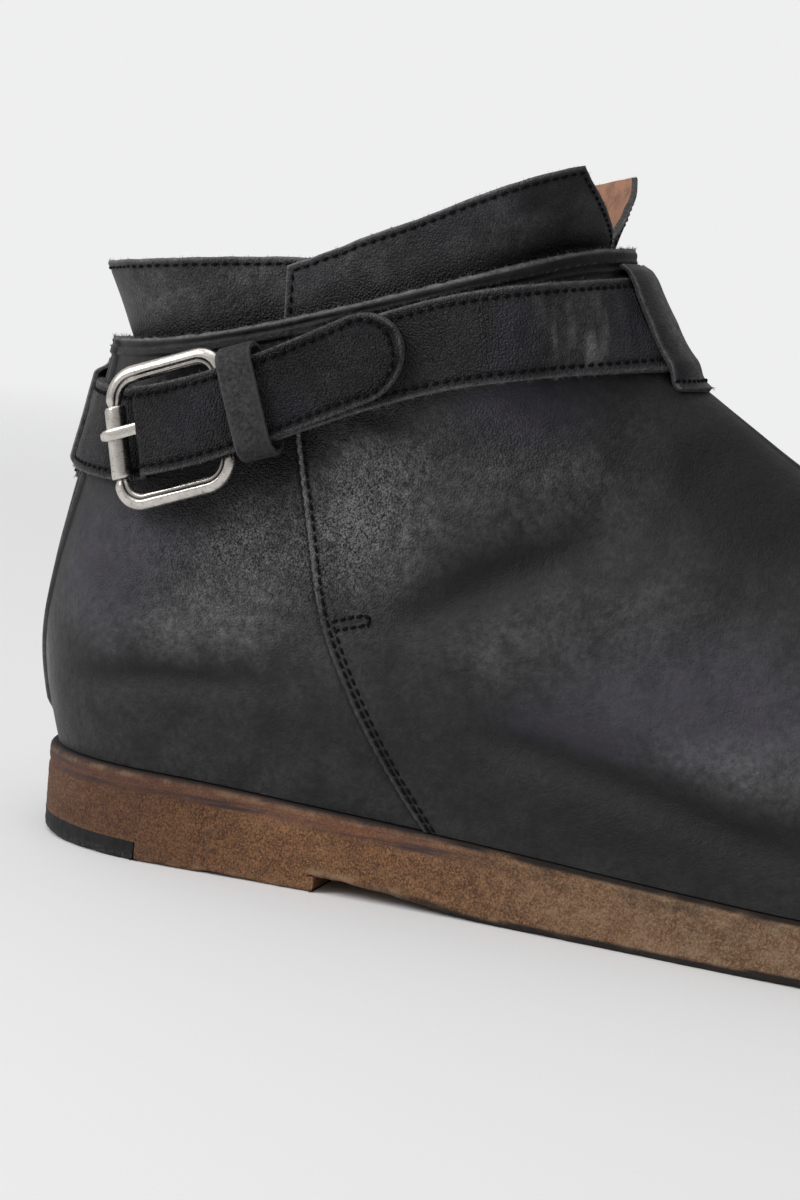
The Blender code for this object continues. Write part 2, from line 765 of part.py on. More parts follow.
def build_buckle():
    rear, _, rear_up, rear_out = strap_frame(ROLLER_BAR_X)
    front, _, front_up, front_out = strap_frame(FRONT_BAR_X)
    rear = rear + ROLLER_BAR_LIFT * rear_out - BUCKLE_DROP * rear_up
    front = front + FRONT_BAR_LIFT * front_out - BUCKLE_DROP * front_up
    length = np.linalg.norm(front - rear)
    forward = unit(front - rear)
    upward = unit(rear_up + front_up)
    upward = unit(upward - forward * (upward @ forward))
    forward, upward = turned(forward, upward, BUCKLE_TURN)
    outward = np.cross(forward, upward)
    bar = upward + BUCKLE_LEAN * forward
    centre = (rear + front) / 2
    rear = centre - length / 2 * forward
    corner = np.array([length, BUCKLE_HEIGHT]) / 2

    path = rounded_box(-corner, corner, BUCKLE_CORNER, BUCKLE_CORNER_STEPS)
    run = np.roll(path, -1, axis=0) - np.roll(path, 1, axis=0)
    beside = unit(np.stack([run[:, 1], -run[:, 0]], axis=-1))
    on_bar = np.abs(path[:, 0]) > corner[0] - WELD
    wide = np.where(on_bar, BAR_CORE, BUCKLE_BAR / 2)
    thick = np.where(on_bar, BAR_CORE, BUCKLE_BAR_THICK / 2)
    sections = []
    for turn in np.linspace(0, 2 * np.pi, BUCKLE_SIDES, endpoint=False):
        flat = path + (wide * np.cos(turn))[:, None] * beside
        height = thick * np.sin(turn)
        sections.append(centre + flat @ np.stack([forward, bar]) + height[:, None] * outward)
    ring("buckle_frame", np.stack(sections, axis=1), "antique_nickel")

    turns = np.linspace(0, 2 * np.pi, ROLLER_SIDES, endpoint=False)
    circle = np.stack([np.cos(turns), np.sin(turns)], axis=-1) @ np.stack([outward, forward])
    ends = [rear + sign * ROLLER_LENGTH / 2 * bar for sign in (-1, 1)]
    sizes = (ROLLER_RADIUS, ROLLER_BORE)
    tube, bore = (np.stack([end + radius * circle for end in ends]) for radius in sizes)
    shell("buckle_roller", tube, bore, True, "antique_nickel")

    over_roller = ROLLER_RADIUS + GAP + PRONG_THICK / 2
    eye = [(corner[0] + PRONG_EYE * np.cos(turn), PRONG_EYE * np.sin(turn)) for turn in PRONG_EYE_TURNS]
    tip = [
        (-corner[0], over_roller),
        (-corner[0] - 0.7 * PRONG_TIP, over_roller - PRONG_DROP / 2),
        (-corner[0] - PRONG_TIP, over_roller - PRONG_DROP),
    ]

    def prong(name, line, width, thickness):
        line = np.array(line)
        run = np.gradient(line, axis=0)
        beside = unit(np.stack([-run[:, 1], run[:, 0]], axis=-1))
        faces = []
        for sign in (-1, 1):
            flat = line + sign * thickness / 2 * beside
            middle = centre + flat @ np.stack([forward, outward]) + PRONG_RAISE * bar
            faces.append(np.stack([middle + half * width / 2 * upward for half in (-1, 1)]))
        return shell(name, faces[0], faces[1], False, "antique_nickel")

    prong("buckle_prong", eye + tip, PRONG_WIDTH, PRONG_THICK)
    slope = (over_roller - PRONG_EYE) / length
    ends = [(u, PRONG_EYE + slope * (corner[0] - u)) for u in SLOT_ENDS]
    cutter = prong("prong_slot", ends, PRONG_WIDTH + 2 * PRONG_CLEAR, PRONG_THICK + 2 * PRONG_CLEAR)
    cutter.hide_render = True
    cutter.display_type = "WIRE"
    return cutter


for old in list(bpy.data.objects):
    bpy.data.objects.remove(old)
boot = bpy.data.objects.new("boot", None)
boot.location.x = -HEEL_CENTRE * MM
bpy.context.collection.objects.link(boot)

build_sole()
build_upper()
build_collars()
strap = build_strap()
build_loops()
build_keeper()
slot = strap.modifiers.new("prong slot", "BOOLEAN")
slot.operation = "DIFFERENCE"
slot.object = build_buckle()
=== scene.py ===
import bmesh
import bpy
import numpy as np
from mathutils import Matrix, Vector, noise


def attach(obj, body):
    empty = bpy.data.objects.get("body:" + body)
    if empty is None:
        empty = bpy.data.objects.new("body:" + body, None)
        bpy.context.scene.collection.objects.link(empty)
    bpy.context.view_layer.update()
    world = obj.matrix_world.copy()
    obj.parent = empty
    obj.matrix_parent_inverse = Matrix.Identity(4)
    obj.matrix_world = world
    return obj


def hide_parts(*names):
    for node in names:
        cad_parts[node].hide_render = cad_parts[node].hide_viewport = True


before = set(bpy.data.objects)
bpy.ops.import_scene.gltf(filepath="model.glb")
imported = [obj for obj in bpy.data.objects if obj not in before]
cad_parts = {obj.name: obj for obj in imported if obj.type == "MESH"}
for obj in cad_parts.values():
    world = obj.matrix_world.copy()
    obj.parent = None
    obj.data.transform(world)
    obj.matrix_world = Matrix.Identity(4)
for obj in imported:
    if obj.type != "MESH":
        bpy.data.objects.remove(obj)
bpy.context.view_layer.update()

# Outsole
# A thick slab of sole leather runs from heel to toe, cemented under the upper and trimmed by
# hand round the last. Its raw brown edge is pitted, streaked with dye and worn at the ground.
# The black band along its top is partly dye and partly painted shade in the crevice under the
# upper. Along its lower edge at the front runs painted shade where it lifts off the floor.

MM = 0.001
HEEL_CENTRE = 40.0


def table(columns, rows):
    """Rows of sizes as a table with named columns."""
    return dict(zip(columns, np.array(rows, float).T))


FOOT = table(
    ("x", "outer", "inner", "axis", "feather"),
    [
        (-4, 34.2, 34.2, 0.0, 18.4),
        (38, 33.2, 33.0, 0.0, 18.2),
        (70, 34.8, 32.4, 0.0, 16.7),
        (100, 37.4, 32.0, 0.2, 15.3),
        (130, 42.2, 34.6, 0.8, 13.8),
        (168, 49.2, 40.2, 2.2, 12.4),
        (200, 53.4, 44.6, 3.2, 12.3),
        (230, 54.8, 46.2, 4.2, 13.2),
        (262, 54.0, 46.0, 5.2, 16.0),
        (296, 53.0, 45.0, 6.0, 20.6),
    ],
)
UPPER_LENGTH = 296.0
TOE_ROUND = 84.0
TOE_FULLNESS = 2.15
HEEL_BACK = 2.2
HEEL_ROUND = 37.0
HEEL_FULLNESS = 2.2
SIDES = {"outer": -1, "inner": 1}

SOLE_GAP = 0.3
SOLE_EDGE = 1.5
SOLE_BEVEL = 0.8
BREAST = 70.0
LIFT_BACK = 4.1
LIFT_FRONT = 2.8
WAIST_END = 112.0
SPRING_START = 203.0
TOE_SPRING = 8.6
BEFORE_HEEL = -10.0
PAST_TOE = 400.0
EDGE_STEPS = 4000
SOLE_STATIONS = 620
SOLE_ROWS = 24
WELD = 0.002
SKIN_DEPTH = 4.0
SKIN_ENDS = 88.0
SKIN_FADE = 26.0
STAIN_STARTS = 85.0
STAIN_FADE = 40.0
# Painted shade along the lower edge from the waist forwards, wider towards the toe
UNDER_SHADE_STARTS = 72.0
UNDER_SHADE_FADE = 30.0
UNDER_SHADE_DEEPENS = 120.0
UNDER_SHADE_DEEP_RUN = 70.0
HEEL_SHOWS = 2.5
HEEL_FADE = 2.0


def along(rows, column, place):
    """A column's value at a place along the table's first column, on a natural cubic spline."""
    places = next(iter(rows.values()))
    values = rows[column]
    steps = np.diff(places)
    slopes = np.diff(values) / steps
    count = len(places)
    system = np.eye(count)
    right = np.zeros(count)
    for k in range(1, count - 1):
        system[k, k - 1 : k + 2] = steps[k - 1], 2 * (steps[k - 1] + steps[k]), steps[k]
        right[k] = 6 * (slopes[k] - slopes[k - 1])
    bends = np.linalg.solve(system, right)
    place = np.clip(place, places[0], places[-1])
    k = np.clip(np.searchsorted(places, place) - 1, 0, count - 2)
    low = (places[k + 1] - place) / steps[k]
    high = 1 - low
    curve = (low**3 - low) * bends[k] + (high**3 - high) * bends[k + 1]
    return low * values[k] + high * values[k + 1] + curve * steps[k] ** 2 / 6


def eased(place):
    """A soft step from 0 to 1 while place goes from 0 to 1."""
    place = np.clip(place, 0, 1)
    return place * place * (3 - 2 * place)


def bell(distance, width):
    """A soft hump: 1 in the middle, fading within about two widths."""
    return np.exp(-((distance / width) ** 2))


def rounded(part, fullness):
    """A rounded end: 0 at its tip and 1 from its full width on."""
    return (1 - (1 - np.clip(part, 0, 1)) ** fullness) ** (1 / fullness)


def unit(vectors):
    """Vectors brought to length 1."""
    return vectors / np.maximum(np.linalg.norm(vectors, axis=-1, keepdims=True), 1e-9)


def run_of(line):
    """How far along a line each of its points lies."""
    return np.concatenate([[0], np.cumsum(np.linalg.norm(np.diff(line, axis=0), axis=1))])


def at(line, distances):
    """The points that lie at distances along a line."""
    run = run_of(line)
    return np.stack([np.interp(distances, run, line[:, k]) for k in range(line.shape[1])], axis=-1)


def rough(points, size, seed):
    """Smooth noise from -1 to 1 at points, with lumps of about the given size in millimetres."""
    shift = Vector((seed * 17.3, seed * 5.1, seed * 9.7))
    flat = points.reshape(-1, 3) / size
    found = [noise.noise(Vector(point) + shift) for point in flat]
    return np.array(found).reshape(points.shape[:-1])


def tread(x):
    """Height of the outsole's underside."""
    heel = LIFT_BACK + (LIFT_FRONT - LIFT_BACK) * np.clip(x / BREAST, 0, 1) + SOLE_GAP
    waist = 1 - eased((x - BREAST) / (WAIST_END - BREAST))
    spring = np.maximum(x - SPRING_START, 0) / (UPPER_LENGTH - SPRING_START)
    return heel * waist + TOE_SPRING * spring**2


def sole_top(x):
    """Height of the outsole's upper face."""
    return along(FOOT, "feather", x) - SOLE_GAP


def edge_loop(start, end, count):
    """The sole's edge from heel to toe and back, evenly spaced, with its outward directions."""
    turn = np.linspace(0, np.pi, EDGE_STEPS)
    x = HEEL_BACK + (UPPER_LENGTH - HEEL_BACK) * (1 - np.cos(turn)) / 2
    lines = []
    for side, sign in SIDES.items():
        width = along(FOOT, side, x) * rounded((UPPER_LENGTH - x) / TOE_ROUND, TOE_FULLNESS)
        width = width * rounded((x - HEEL_BACK) / HEEL_ROUND, HEEL_FULLNESS)
        line = np.stack([x, along(FOOT, "axis", x) + sign * width], axis=-1)
        run = np.gradient(line, axis=0)
        line = line - sign * SOLE_EDGE * unit(np.stack([run[:, 1], -run[:, 0]], axis=-1))
        inside = line[(line[:, 0] >= start) & (line[:, 0] <= end)]
        lines.append(at(inside, np.linspace(0, run_of(inside)[-1], count)))
    outer, inner = lines
    for tip, reached in ((0, start < 0), (-1, end > UPPER_LENGTH)):
        if reached:
            outer[tip] = inner[tip] = (outer[tip] + inner[tip]) / 2
    loop = np.concatenate([outer, inner[::-1]])
    run = np.roll(loop, -1, axis=0) - np.roll(loop, 1, axis=0)
    return loop, -unit(np.stack([-run[:, 1], run[:, 0]], axis=-1))


def band(first, second, closed):
    """Four-sided faces between two lines of point numbers."""
    count = len(first) if closed else len(first) - 1
    k = np.arange(count)
    ahead = (k + 1) % len(first)
    return np.stack([first[k], first[ahead], second[ahead], second[k]], axis=-1)


def piece(name, points, faces, finishes, which=None, paints=None, crisp=50):
    """A mesh object from points in millimetres; paints are named values at its points."""
    mesh = bpy.data.meshes.new(name)
    places = (points - (HEEL_CENTRE, 0, 0)) * MM
    mesh.from_pydata(places.tolist(), [], np.asarray(faces).tolist())
    for finish in finishes:
        mesh.materials.append(finish)
    if which is not None:
        mesh.polygons.foreach_set("material_index", np.asarray(which, np.int32))
    for paint, values in (paints or {}).items():
        layer = mesh.attributes.new(paint, "FLOAT", "POINT")
        layer.data.foreach_set("value", np.ravel(values).astype(np.float32))
    shape = bmesh.new()
    shape.from_mesh(mesh)
    bmesh.ops.remove_doubles(shape, verts=shape.verts, dist=WELD * MM)
    bmesh.ops.recalc_face_normals(shape, faces=shape.faces)
    shape.to_mesh(mesh)
    shape.free()
    mesh.shade_smooth()
    mesh.set_sharp_from_angle(angle=np.radians(crisp))
    made = bpy.data.objects.new(name, mesh)
    bpy.context.scene.collection.objects.link(made)
    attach(made, "root")
    return made


def slab(name, loops, finishes, paints=None):
    """A solid through loops of points, closed by a face over its first and its last loop."""
    size = len(loops[0])
    numbers = np.arange(len(loops) * size).reshape(len(loops), size)
    faces = [band(numbers[k], numbers[k + 1], True) for k in range(len(loops) - 1)]
    half = size // 2
    for loop in (numbers[0], numbers[-1]):
        faces.append(band(loop[:half], loop[: half - 1 : -1], False))
    return piece(name, np.concatenate(loops), np.concatenate(faces), finishes, paints=paints)


class Finish:
    """A material with short calls for the nodes that its looks are mixed from."""

    def __init__(self, name):
        self.material = bpy.data.materials.new(name)
        self.material.use_nodes = True
        self.tree = self.material.node_tree
        self.shader = self.tree.nodes["Principled BSDF"]
        self.place = self.node("ShaderNodeTexCoord").outputs["Object"]

    def put(self, socket, value):
        if isinstance(value, bpy.types.NodeSocket):
            self.tree.links.new(value, socket)
        elif isinstance(value, tuple) and socket.type == "RGBA":
            socket.default_value = (*value, 1)
        else:
            socket.default_value = value

    def node(self, kind, inputs=None, **settings):
        made = self.tree.nodes.new(kind)
        for name, value in settings.items():
            setattr(made, name, value)
        for name, value in (inputs or {}).items():
            self.put(made.inputs[name], value)
        return made

    def sized(self, per_metre):
        """The place on the object in lumps: their number per metre, one or along x, y and z."""
        steps = per_metre if isinstance(per_metre, tuple) else (per_metre,) * 3
        inputs = {0: self.place, 1: steps}
        return self.node("ShaderNodeVectorMath", inputs, operation="MULTIPLY").outputs[0]

    def noise(self, per_metre, detail=4.0, harsh=0.55):
        """Soft lumps, from 0 to 1."""
        inputs = {"Vector": self.sized(per_metre), "Scale": 1.0, "Detail": detail, "Roughness": harsh}
        return self.node("ShaderNodeTexNoise", inputs).outputs["Fac"]

    def painted(self, name):
        """The value painted on the piece's points under a name."""
        return self.node("ShaderNodeAttribute", attribute_name=name).outputs["Fac"]

    def span(self, value, low, high, least=0.0, most=1.0):
        """A value brought from low and high to least and most, and held there beyond them."""
        inputs = {"Value": value, "From Min": low, "From Max": high, "To Min": least, "To Max": most}
        return self.node("ShaderNodeMapRange", inputs).outputs["Result"]

    def math(self, kind, first, second):
        return self.node("ShaderNodeMath", {0: first, 1: second}, operation=kind).outputs[0]

    def times(self, first, second):
        return self.math("MULTIPLY", first, second)

    def plus(self, first, second):
        return self.math("ADD", first, second)

    def mix(self, share, first, second):
        """The first colour, with a share of the second laid over it."""
        made = self.node("ShaderNodeMix", data_type="RGBA")
        self.put(made.inputs["Factor"], share)
        for socket in made.inputs:
            if socket.type == "RGBA":
                self.put(socket, first if socket.name == "A" else second)
        return next(socket for socket in made.outputs if socket.type == "RGBA")

    def bump(self, height, depth, under=None, strength=1.0):
        """Fine relief of a depth in millimetres."""
        inputs = {"Height": height, "Distance": depth * MM, "Strength": strength}
        if under is not None:
            inputs["Normal"] = under
        return self.node("ShaderNodeBump", inputs).outputs["Normal"]

    def wear(self, **sockets):
        """Sets the shader's sockets, with spaces in their names written as underscores."""
        for name, value in sockets.items():
            self.put(self.shader.inputs[name.replace("_", " ")], value)
        return self.material


def sole_leather():
    """Raw brown leather: pale and gritty, smooth and streaked near its top, dark at the heel."""
    finish = Finish("sole_leather")
    forward = finish.painted("forward")
    smooth = finish.painted("skin")
    cloud = finish.noise((45, 45, 120), 5)
    blotch = finish.noise((330, 330, 420), 8, 0.75)
    grit = finish.noise((2500, 2500, 2300), 5, 0.72)
    colour = finish.mix(finish.span(forward, 0.0, 0.4), (0.15, 0.058, 0.026), (0.23, 0.125, 0.064))
    colour = finish.mix(finish.span(cloud, 0.4, 0.62, 0, 0.75), colour, (0.1, 0.042, 0.02))
    front = finish.span(forward, 0.3, 0.5)
    pale = finish.mix(front, (0.33, 0.155, 0.068), (0.36, 0.25, 0.16))
    colour = finish.mix(finish.span(blotch, 0.44, 0.64, 0, 0.7), colour, pale)
    colour = finish.mix(finish.times(smooth, 0.65), colour, (0.115, 0.045, 0.028))
    loose = finish.span(smooth, 0.0, 1.0, 1.0, 0.35)
    speck = finish.times(finish.span(grit, 0.5, 0.64, 0, 0.85), loose)
    colour = finish.mix(speck, colour, finish.mix(front, (0.42, 0.21, 0.085), (0.42, 0.28, 0.17)))
    pit = finish.times(finish.span(grit, 0.37, 0.49, 0.8, 0.0), loose)
    pit = finish.times(pit, finish.span(front, 0.0, 1.0, 1.0, 0.55))
    colour = finish.mix(pit, colour, (0.03, 0.013, 0.007))
    streak = finish.span(finish.noise((24, 24, 480), 7, 0.75), 0.47, 0.58, 0, 0.92)
    streak = finish.times(streak, smooth)
    colour = finish.mix(streak, colour, (0.042, 0.026, 0.027))
    handled = finish.span(forward, 0.1, 0.21, 0.5, 0.0)
    colour = finish.mix(handled, colour, (0.04, 0.016, 0.011))
    lightened = finish.span(finish.noise(260, 6, 0.75), 0.45, 0.6)
    worn = finish.times(finish.painted("worn"), lightened)
    colour = finish.mix(finish.times(worn, 0.7), colour, (0.42, 0.28, 0.17))
    stain = finish.span(finish.noise((90, 90, 160), 6, 0.7), 0.5, 0.62)
    stain = finish.times(finish.painted("stain"), stain)
    colour = finish.mix(stain, colour, (0.018, 0.012, 0.01))
    # Nearly black: dye and painted shade along the top, painted shade along the lower front edge
    colour = finish.mix(finish.painted("dye_and_shade"), colour, (0.008, 0.006, 0.006))
    relief = finish.times(grit, loose)
    dull = finish.span(cloud, 0.3, 0.7, 0.62, 0.82)
    normal = finish.bump(relief, 0.55)
    return finish.wear(Base_Color=colour, Roughness=dull, Normal=normal, Specular_IOR_Level=0.35)


def sole_edge_loops(loop, out, top, bottom, rows, seed, joined_above=None, joined_below=None):
    """Loops down a trimmed edge, from its upper to its lower face, and their paints."""
    loops = []
    paints = {"forward": [], "skin": [], "worn": [], "stain": [], "dye_and_shade": []}
    x = loop[:, 0]
    low = bottom(x)
    deep = top(x) - low
    layered = eased((x - SKIN_ENDS) / SKIN_FADE)
    above = np.zeros(len(x)) if joined_above is None else joined_above(x)
    below = np.zeros(len(x)) if joined_below is None else joined_below(x)
    for part in np.linspace(1, 0, rows):
        from_top = (1 - part) * deep
        from_floor = part * deep
        inset = SOLE_BEVEL * np.clip(1 - from_top / SOLE_BEVEL, 0, 1) ** 2 * (1 - above)
        inset = inset + 0.9 * SOLE_BEVEL * np.clip(1 - from_floor / SOLE_BEVEL, 0, 1) ** 2 * (1 - below)
        flat = np.column_stack([loop, low + from_floor])
        uneven = 0.2 * rough(flat, 11, seed) + 0.14 * rough(flat, 1.4, seed + 1)
        uneven = uneven - 0.3 * np.clip(rough(flat, 3.2, seed + 2) - 0.2, 0, 1)
        seam = SKIN_DEPTH + 0.7 * rough(flat, 24, seed + 3)
        groove = 0.16 * bell(from_top - seam, 0.4) * (1 - above) * (1 - layered)
        side = loop + (uneven - inset - groove)[:, None] * out
        ragged = np.clip(rough(flat, 5, seed + 4), 0, 1) * np.exp(-from_floor / 0.8) * (1 - below)
        loops.append(np.column_stack([side, low + from_floor + 0.6 * ragged]))
        paints["forward"].append(x / UPPER_LENGTH)
        skin = eased((seam - from_top) / 0.8 + 0.5) * (1 - layered)
        paints["skin"].append((1 - above) * skin)
        edges = 0.7 * np.exp(-((from_top - 0.8) ** 2) / 0.2) * (1 - above)
        edges = edges + np.exp(-((from_floor - 0.7) ** 2) / 0.8) * (1 - below)
        paints["worn"].append(np.clip(edges, 0, 1))
        stained = eased((x - STAIN_STARTS) / STAIN_FADE)
        paints["stain"].append(0.9 * stained * np.exp(-from_top / 3.5))
        # Nearly black: dye along the top, widened by painted shade of the crevice under the upper, and
        # painted shade along the lower edge at the front, where the sole lifts off the floor.
        top_dye_and_shade = 0.6 + layered * np.clip(0.25 + 0.6 * rough(flat * (1, 1, 0), 7, seed + 6), 0, 0.8)
        deeper = eased((x - UNDER_SHADE_DEEPENS) / UNDER_SHADE_DEEP_RUN)
        under_shade_height = 1.1 + deeper + 0.7 * rough(flat * (1, 1, 0), 13, seed + 5)
        black = eased((top_dye_and_shade - from_top) / 0.5 + 0.5) * (1 - above)
        under_shade_share = eased((x - UNDER_SHADE_STARTS) / UNDER_SHADE_FADE) * (1 - below)
        black = black + under_shade_share * eased((under_shade_height - from_floor) / 0.4 + 0.5)
        paints["dye_and_shade"].append(np.clip(0.95 * black, 0, 0.95))
    return loops, {name: np.array(values) for name, values in paints.items()}


SOLE_LEATHER = sole_leather()
sole_loop, sole_out = edge_loop(BEFORE_HEEL, PAST_TOE, SOLE_STATIONS)


def on_heel(x):
    """1 where the sole has the heel under it."""
    return 1 - eased((x - BREAST + HEEL_SHOWS) / HEEL_FADE)


sole_loops, sole_paints = sole_edge_loops(
    sole_loop, sole_out, sole_top, tread, SOLE_ROWS, 1, joined_below=on_heel
)
outsole = slab("sole_slab", sole_loops, [SOLE_LEATHER], sole_paints)
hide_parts("outsole")

# Heel lift
# A low lift of the same leather is pegged under the heel, in front of the rubber tip. Its edge is
# trimmed flush with the sole's and worn a little where it meets the ground.

TIP_FRONT = 31.2
HEEL_WEAR = 1.0
WEAR_RUN = 15.0
LIFT_STATIONS = 150
LIFT_ROWS = 11


def heel_floor(x):
    """Height of the heel's underside, worn round at the very back."""
    return HEEL_WEAR * np.clip(1 - x / WEAR_RUN, 0, 1) ** 2


def heel_layer(start, end):
    """Loops and paints of the layer under the heel between two lengths."""
    loop, out = edge_loop(start, end, LIFT_STATIONS)
    return sole_edge_loops(loop, out, tread, heel_floor, LIFT_ROWS, 1, joined_above=np.ones_like)


lift_loops, lift_paints = heel_layer(TIP_FRONT + SOLE_GAP / 2, BREAST)
lift_paints["worn"] *= 0.5
heel_lift = slab("heel_lift_stack", lift_loops, [SOLE_LEATHER], lift_paints)
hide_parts("heel_lift")

# Heel tip
# A corner of black rubber is let into the lift at the back of the heel, where the heel strikes. It
# is worn round at the very back, with dust in its worn edge.


def tip_rubber():
    finish = Finish("tip_rubber")
    cloud = finish.noise(160, 5)
    grit = finish.noise(2200, 3, 0.7)
    colour = finish.mix(finish.span(cloud, 0.35, 0.7), (0.004, 0.0042, 0.0048), (0.01, 0.0103, 0.0115))
    dust = finish.times(finish.painted("worn"), finish.span(grit, 0.45, 0.7, 0, 0.6))
    colour = finish.mix(dust, colour, (0.11, 0.105, 0.1))
    normal = finish.bump(grit, 0.06)
    return finish.wear(Base_Color=colour, Roughness=0.72, Normal=normal, Specular_IOR_Level=0.3)


tip_loops, tip_paints = heel_layer(BEFORE_HEEL, TIP_FRONT - SOLE_GAP / 2)
heel_tip = slab("heel_tip_rubber", tip_loops, [tip_rubber()], tip_paints)
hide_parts("heel_tip")

# Insole
# A flat leather insole lies inside on the sole, under the foot. It is cut from the same smooth tan
# leather as the lining and cemented down.


def lining_leather():
    finish = Finish("lining_leather")
    cloud = finish.noise(60, 5)
    grain = finish.noise(900, 4, 0.65)
    colour = finish.mix(finish.span(cloud, 0.35, 0.68), (0.33, 0.155, 0.085), (0.21, 0.095, 0.055))
    colour = finish.mix(finish.span(grain, 0.5, 0.75, 0, 0.35), colour, (0.13, 0.055, 0.03))
    soiled = finish.span(finish.noise(210, 8, 0.75), 0.5, 0.66, 0, 0.75)
    colour = finish.mix(soiled, colour, (0.085, 0.045, 0.03))
    normal = finish.bump(grain, 0.08)
    return finish.wear(Base_Color=colour, Roughness=finish.span(grain, 0.3, 0.7, 0.5, 0.7), Normal=normal)


LINING = lining_leather()
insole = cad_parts["insole"]
insole.data.materials.clear()
insole.data.materials.append(LINING)

# Upper
# Vamp and quarter are black waxed leather, lasted wet over the sole's feather line. The vamp's cut
# edge laps over the quarter at the side seam, and a narrow strip is sewn over the back seam.

WALL = 2.2
CROWN_ROUND = 50.0
CROWN_FULLNESS = 2.3
SHAFT_MIDDLE = 98.0
SHAFT_EASE = 6.0
INSTEP_SWEEP = 636.0
SHAFT_ENDS = 105.0
FOREPART_STARTS = 160.0
PROFILE = table(
    ("x", "vamp", "reach"),
    [
        (-4, 68.3, 83.2),
        (30, 68.3, 86.2),
        (55, 68.3, 93.5),
        (84, 68.3, 104.2),
        (100, 68.3, 110.7),
        (113, 68.3, 115.1),
        (122, 68.6, 113.0),
        (131.5, 69.2, 109.5),
        (149, 65.3, 104.0),
        (165, 59.9, 100.0),
        (202, 50.1, 92.0),
        (242, 40.2, 86.0),
        (274, 32.4, 80.0),
        (296, 28.7, 76.0),
    ],
)
ARCH = table(
    ("x", "power"),
    [(-4, 2.2), (60, 2.0), (100, 1.8), (125, 1.7), (150, 1.8), (200, 1.9), (250, 2.3), (296, 2.5)],
)
BACK = table(
    ("level", "x", "round"),
    [
        (0.0, 2.2, 37.0),
        (0.12, -0.6, 37.5),
        (0.25, -2.2, 38.0),
        (0.42, -1.1, 37.0),
        (0.65, 2.2, 36.0),
        (0.85, 5.8, 35.0),
        (1.0, 8.4, 34.0),
    ],
)
SIDE = table(
    ("level", "ankle", "forepart"),
    [
        (0.0, 0.0, 0.0),
        (0.15, 0.9, 0.9),
        (0.3, 0.8, 0.8),
        (0.5, -0.6, 0.0),
        (0.75, -2.2, 0.0),
        (1.0, -1.0, 0.0),
    ],
)
SEAM = table(
    ("z", "x"),
    [(13, 93.5), (24, 84.0), (40, 73.0), (54, 65.8), (67, 62.0), (84, 57.5), (100, 54.2), (124, 51.5)],
)


def peak(x):
    """The level at which the two sides meet on the crown; no crown closes the shaft."""
    ahead = SHAFT_EASE * np.logaddexp(0, (x - SHAFT_MIDDLE) / SHAFT_EASE)
    crown = along(PROFILE, "vamp", x) + INSTEP_SWEEP / ahead
    crown = crown * rounded((UPPER_LENGTH - x) / CROWN_ROUND, CROWN_FULLNESS)
    return crown / along(PROFILE, "reach", x)


def half_width(x, level, side):
    """Half the upper's width on one side, from the foot's axis."""
    toe = rounded((UPPER_LENGTH - x) / TOE_ROUND, TOE_FULLNESS)
    shaft = 1 - eased((x - SHAFT_ENDS) / (FOREPART_STARTS - SHAFT_ENDS))
    width = along(FOOT, side, x) * toe + shaft * along(SIDE, "ankle", level)
    width = width + (1 - shaft) * along(SIDE, "forepart", level) * toe
    heel = rounded((x - along(BACK, "x", level)) / along(BACK, "round", level), HEEL_FULLNESS)
    closing = np.clip(level / np.maximum(peak(x), 1e-6), 0, 1)
    return width * heel * np.sqrt(1 - closing ** along(ARCH, "power", x))


def on_last(x, level, side):
    """Points of the upper's outer face at lengths x and levels 0 to 1 on one side of the foot."""
    y = along(FOOT, "axis", x) + SIDES[side] * half_width(x, level, side)
    z = along(FOOT, "feather", x) + level * along(PROFILE, "reach", x)
    return np.stack([x, y, z], axis=-1)


def level_at(x, z):
    """The level of a height z on the upper at length x."""
    return (z - along(FOOT, "feather", x)) / along(PROFILE, "reach", x)


def girth(level, side, count=900):
    """A fine line round one side of the upper, from back to front, at the levels level(x)."""
    x = np.arange(-4, UPPER_LENGTH + 0.01, 0.05)
    found = level(x)
    inside = np.flatnonzero((x >= along(BACK, "x", found)) & (found <= peak(x)))
    back, front = x[inside[0]], x[inside[-1]]
    x = back + (front - back) * (1 - np.cos(np.linspace(0, np.pi, count))) / 2
    line = on_last(x, level(x), side)
    line[[0, -1], 1] = along(FOOT, "axis", x[[0, -1]])
    return line


def flat_level(level):
    """One level all the way round, for girth."""
    return lambda x: np.full_like(x, level)


def facing(grid, wrap):
    """Unit normals of a grid of points, with rows going up and columns going round the outside."""
    if wrap:
        across = np.roll(grid, -1, axis=1) - np.roll(grid, 1, axis=1)
    else:
        across = np.gradient(grid, axis=1)
    return unit(np.cross(across, np.gradient(grid, axis=0)))


def from_line(points, path):
    """Distance of points from a line of (x, z) places, and how far along it each lies, 0 to 1."""
    path = np.array(path, float)
    run = run_of(path)
    best = np.full(points.shape[:-1], np.inf)
    share = np.zeros(points.shape[:-1])
    for k in range(len(path) - 1):
        step = path[k + 1] - path[k]
        part = np.clip((points - path[k]) @ step / (step @ step), 0, 1)
        gap = np.linalg.norm(points - path[k] - part[..., None] * step, axis=-1)
        nearer = gap < best
        best = np.where(nearer, gap, best)
        share = np.where(nearer, (run[k] + part * (run[k + 1] - run[k])) / run[-1], share)
    return best, share


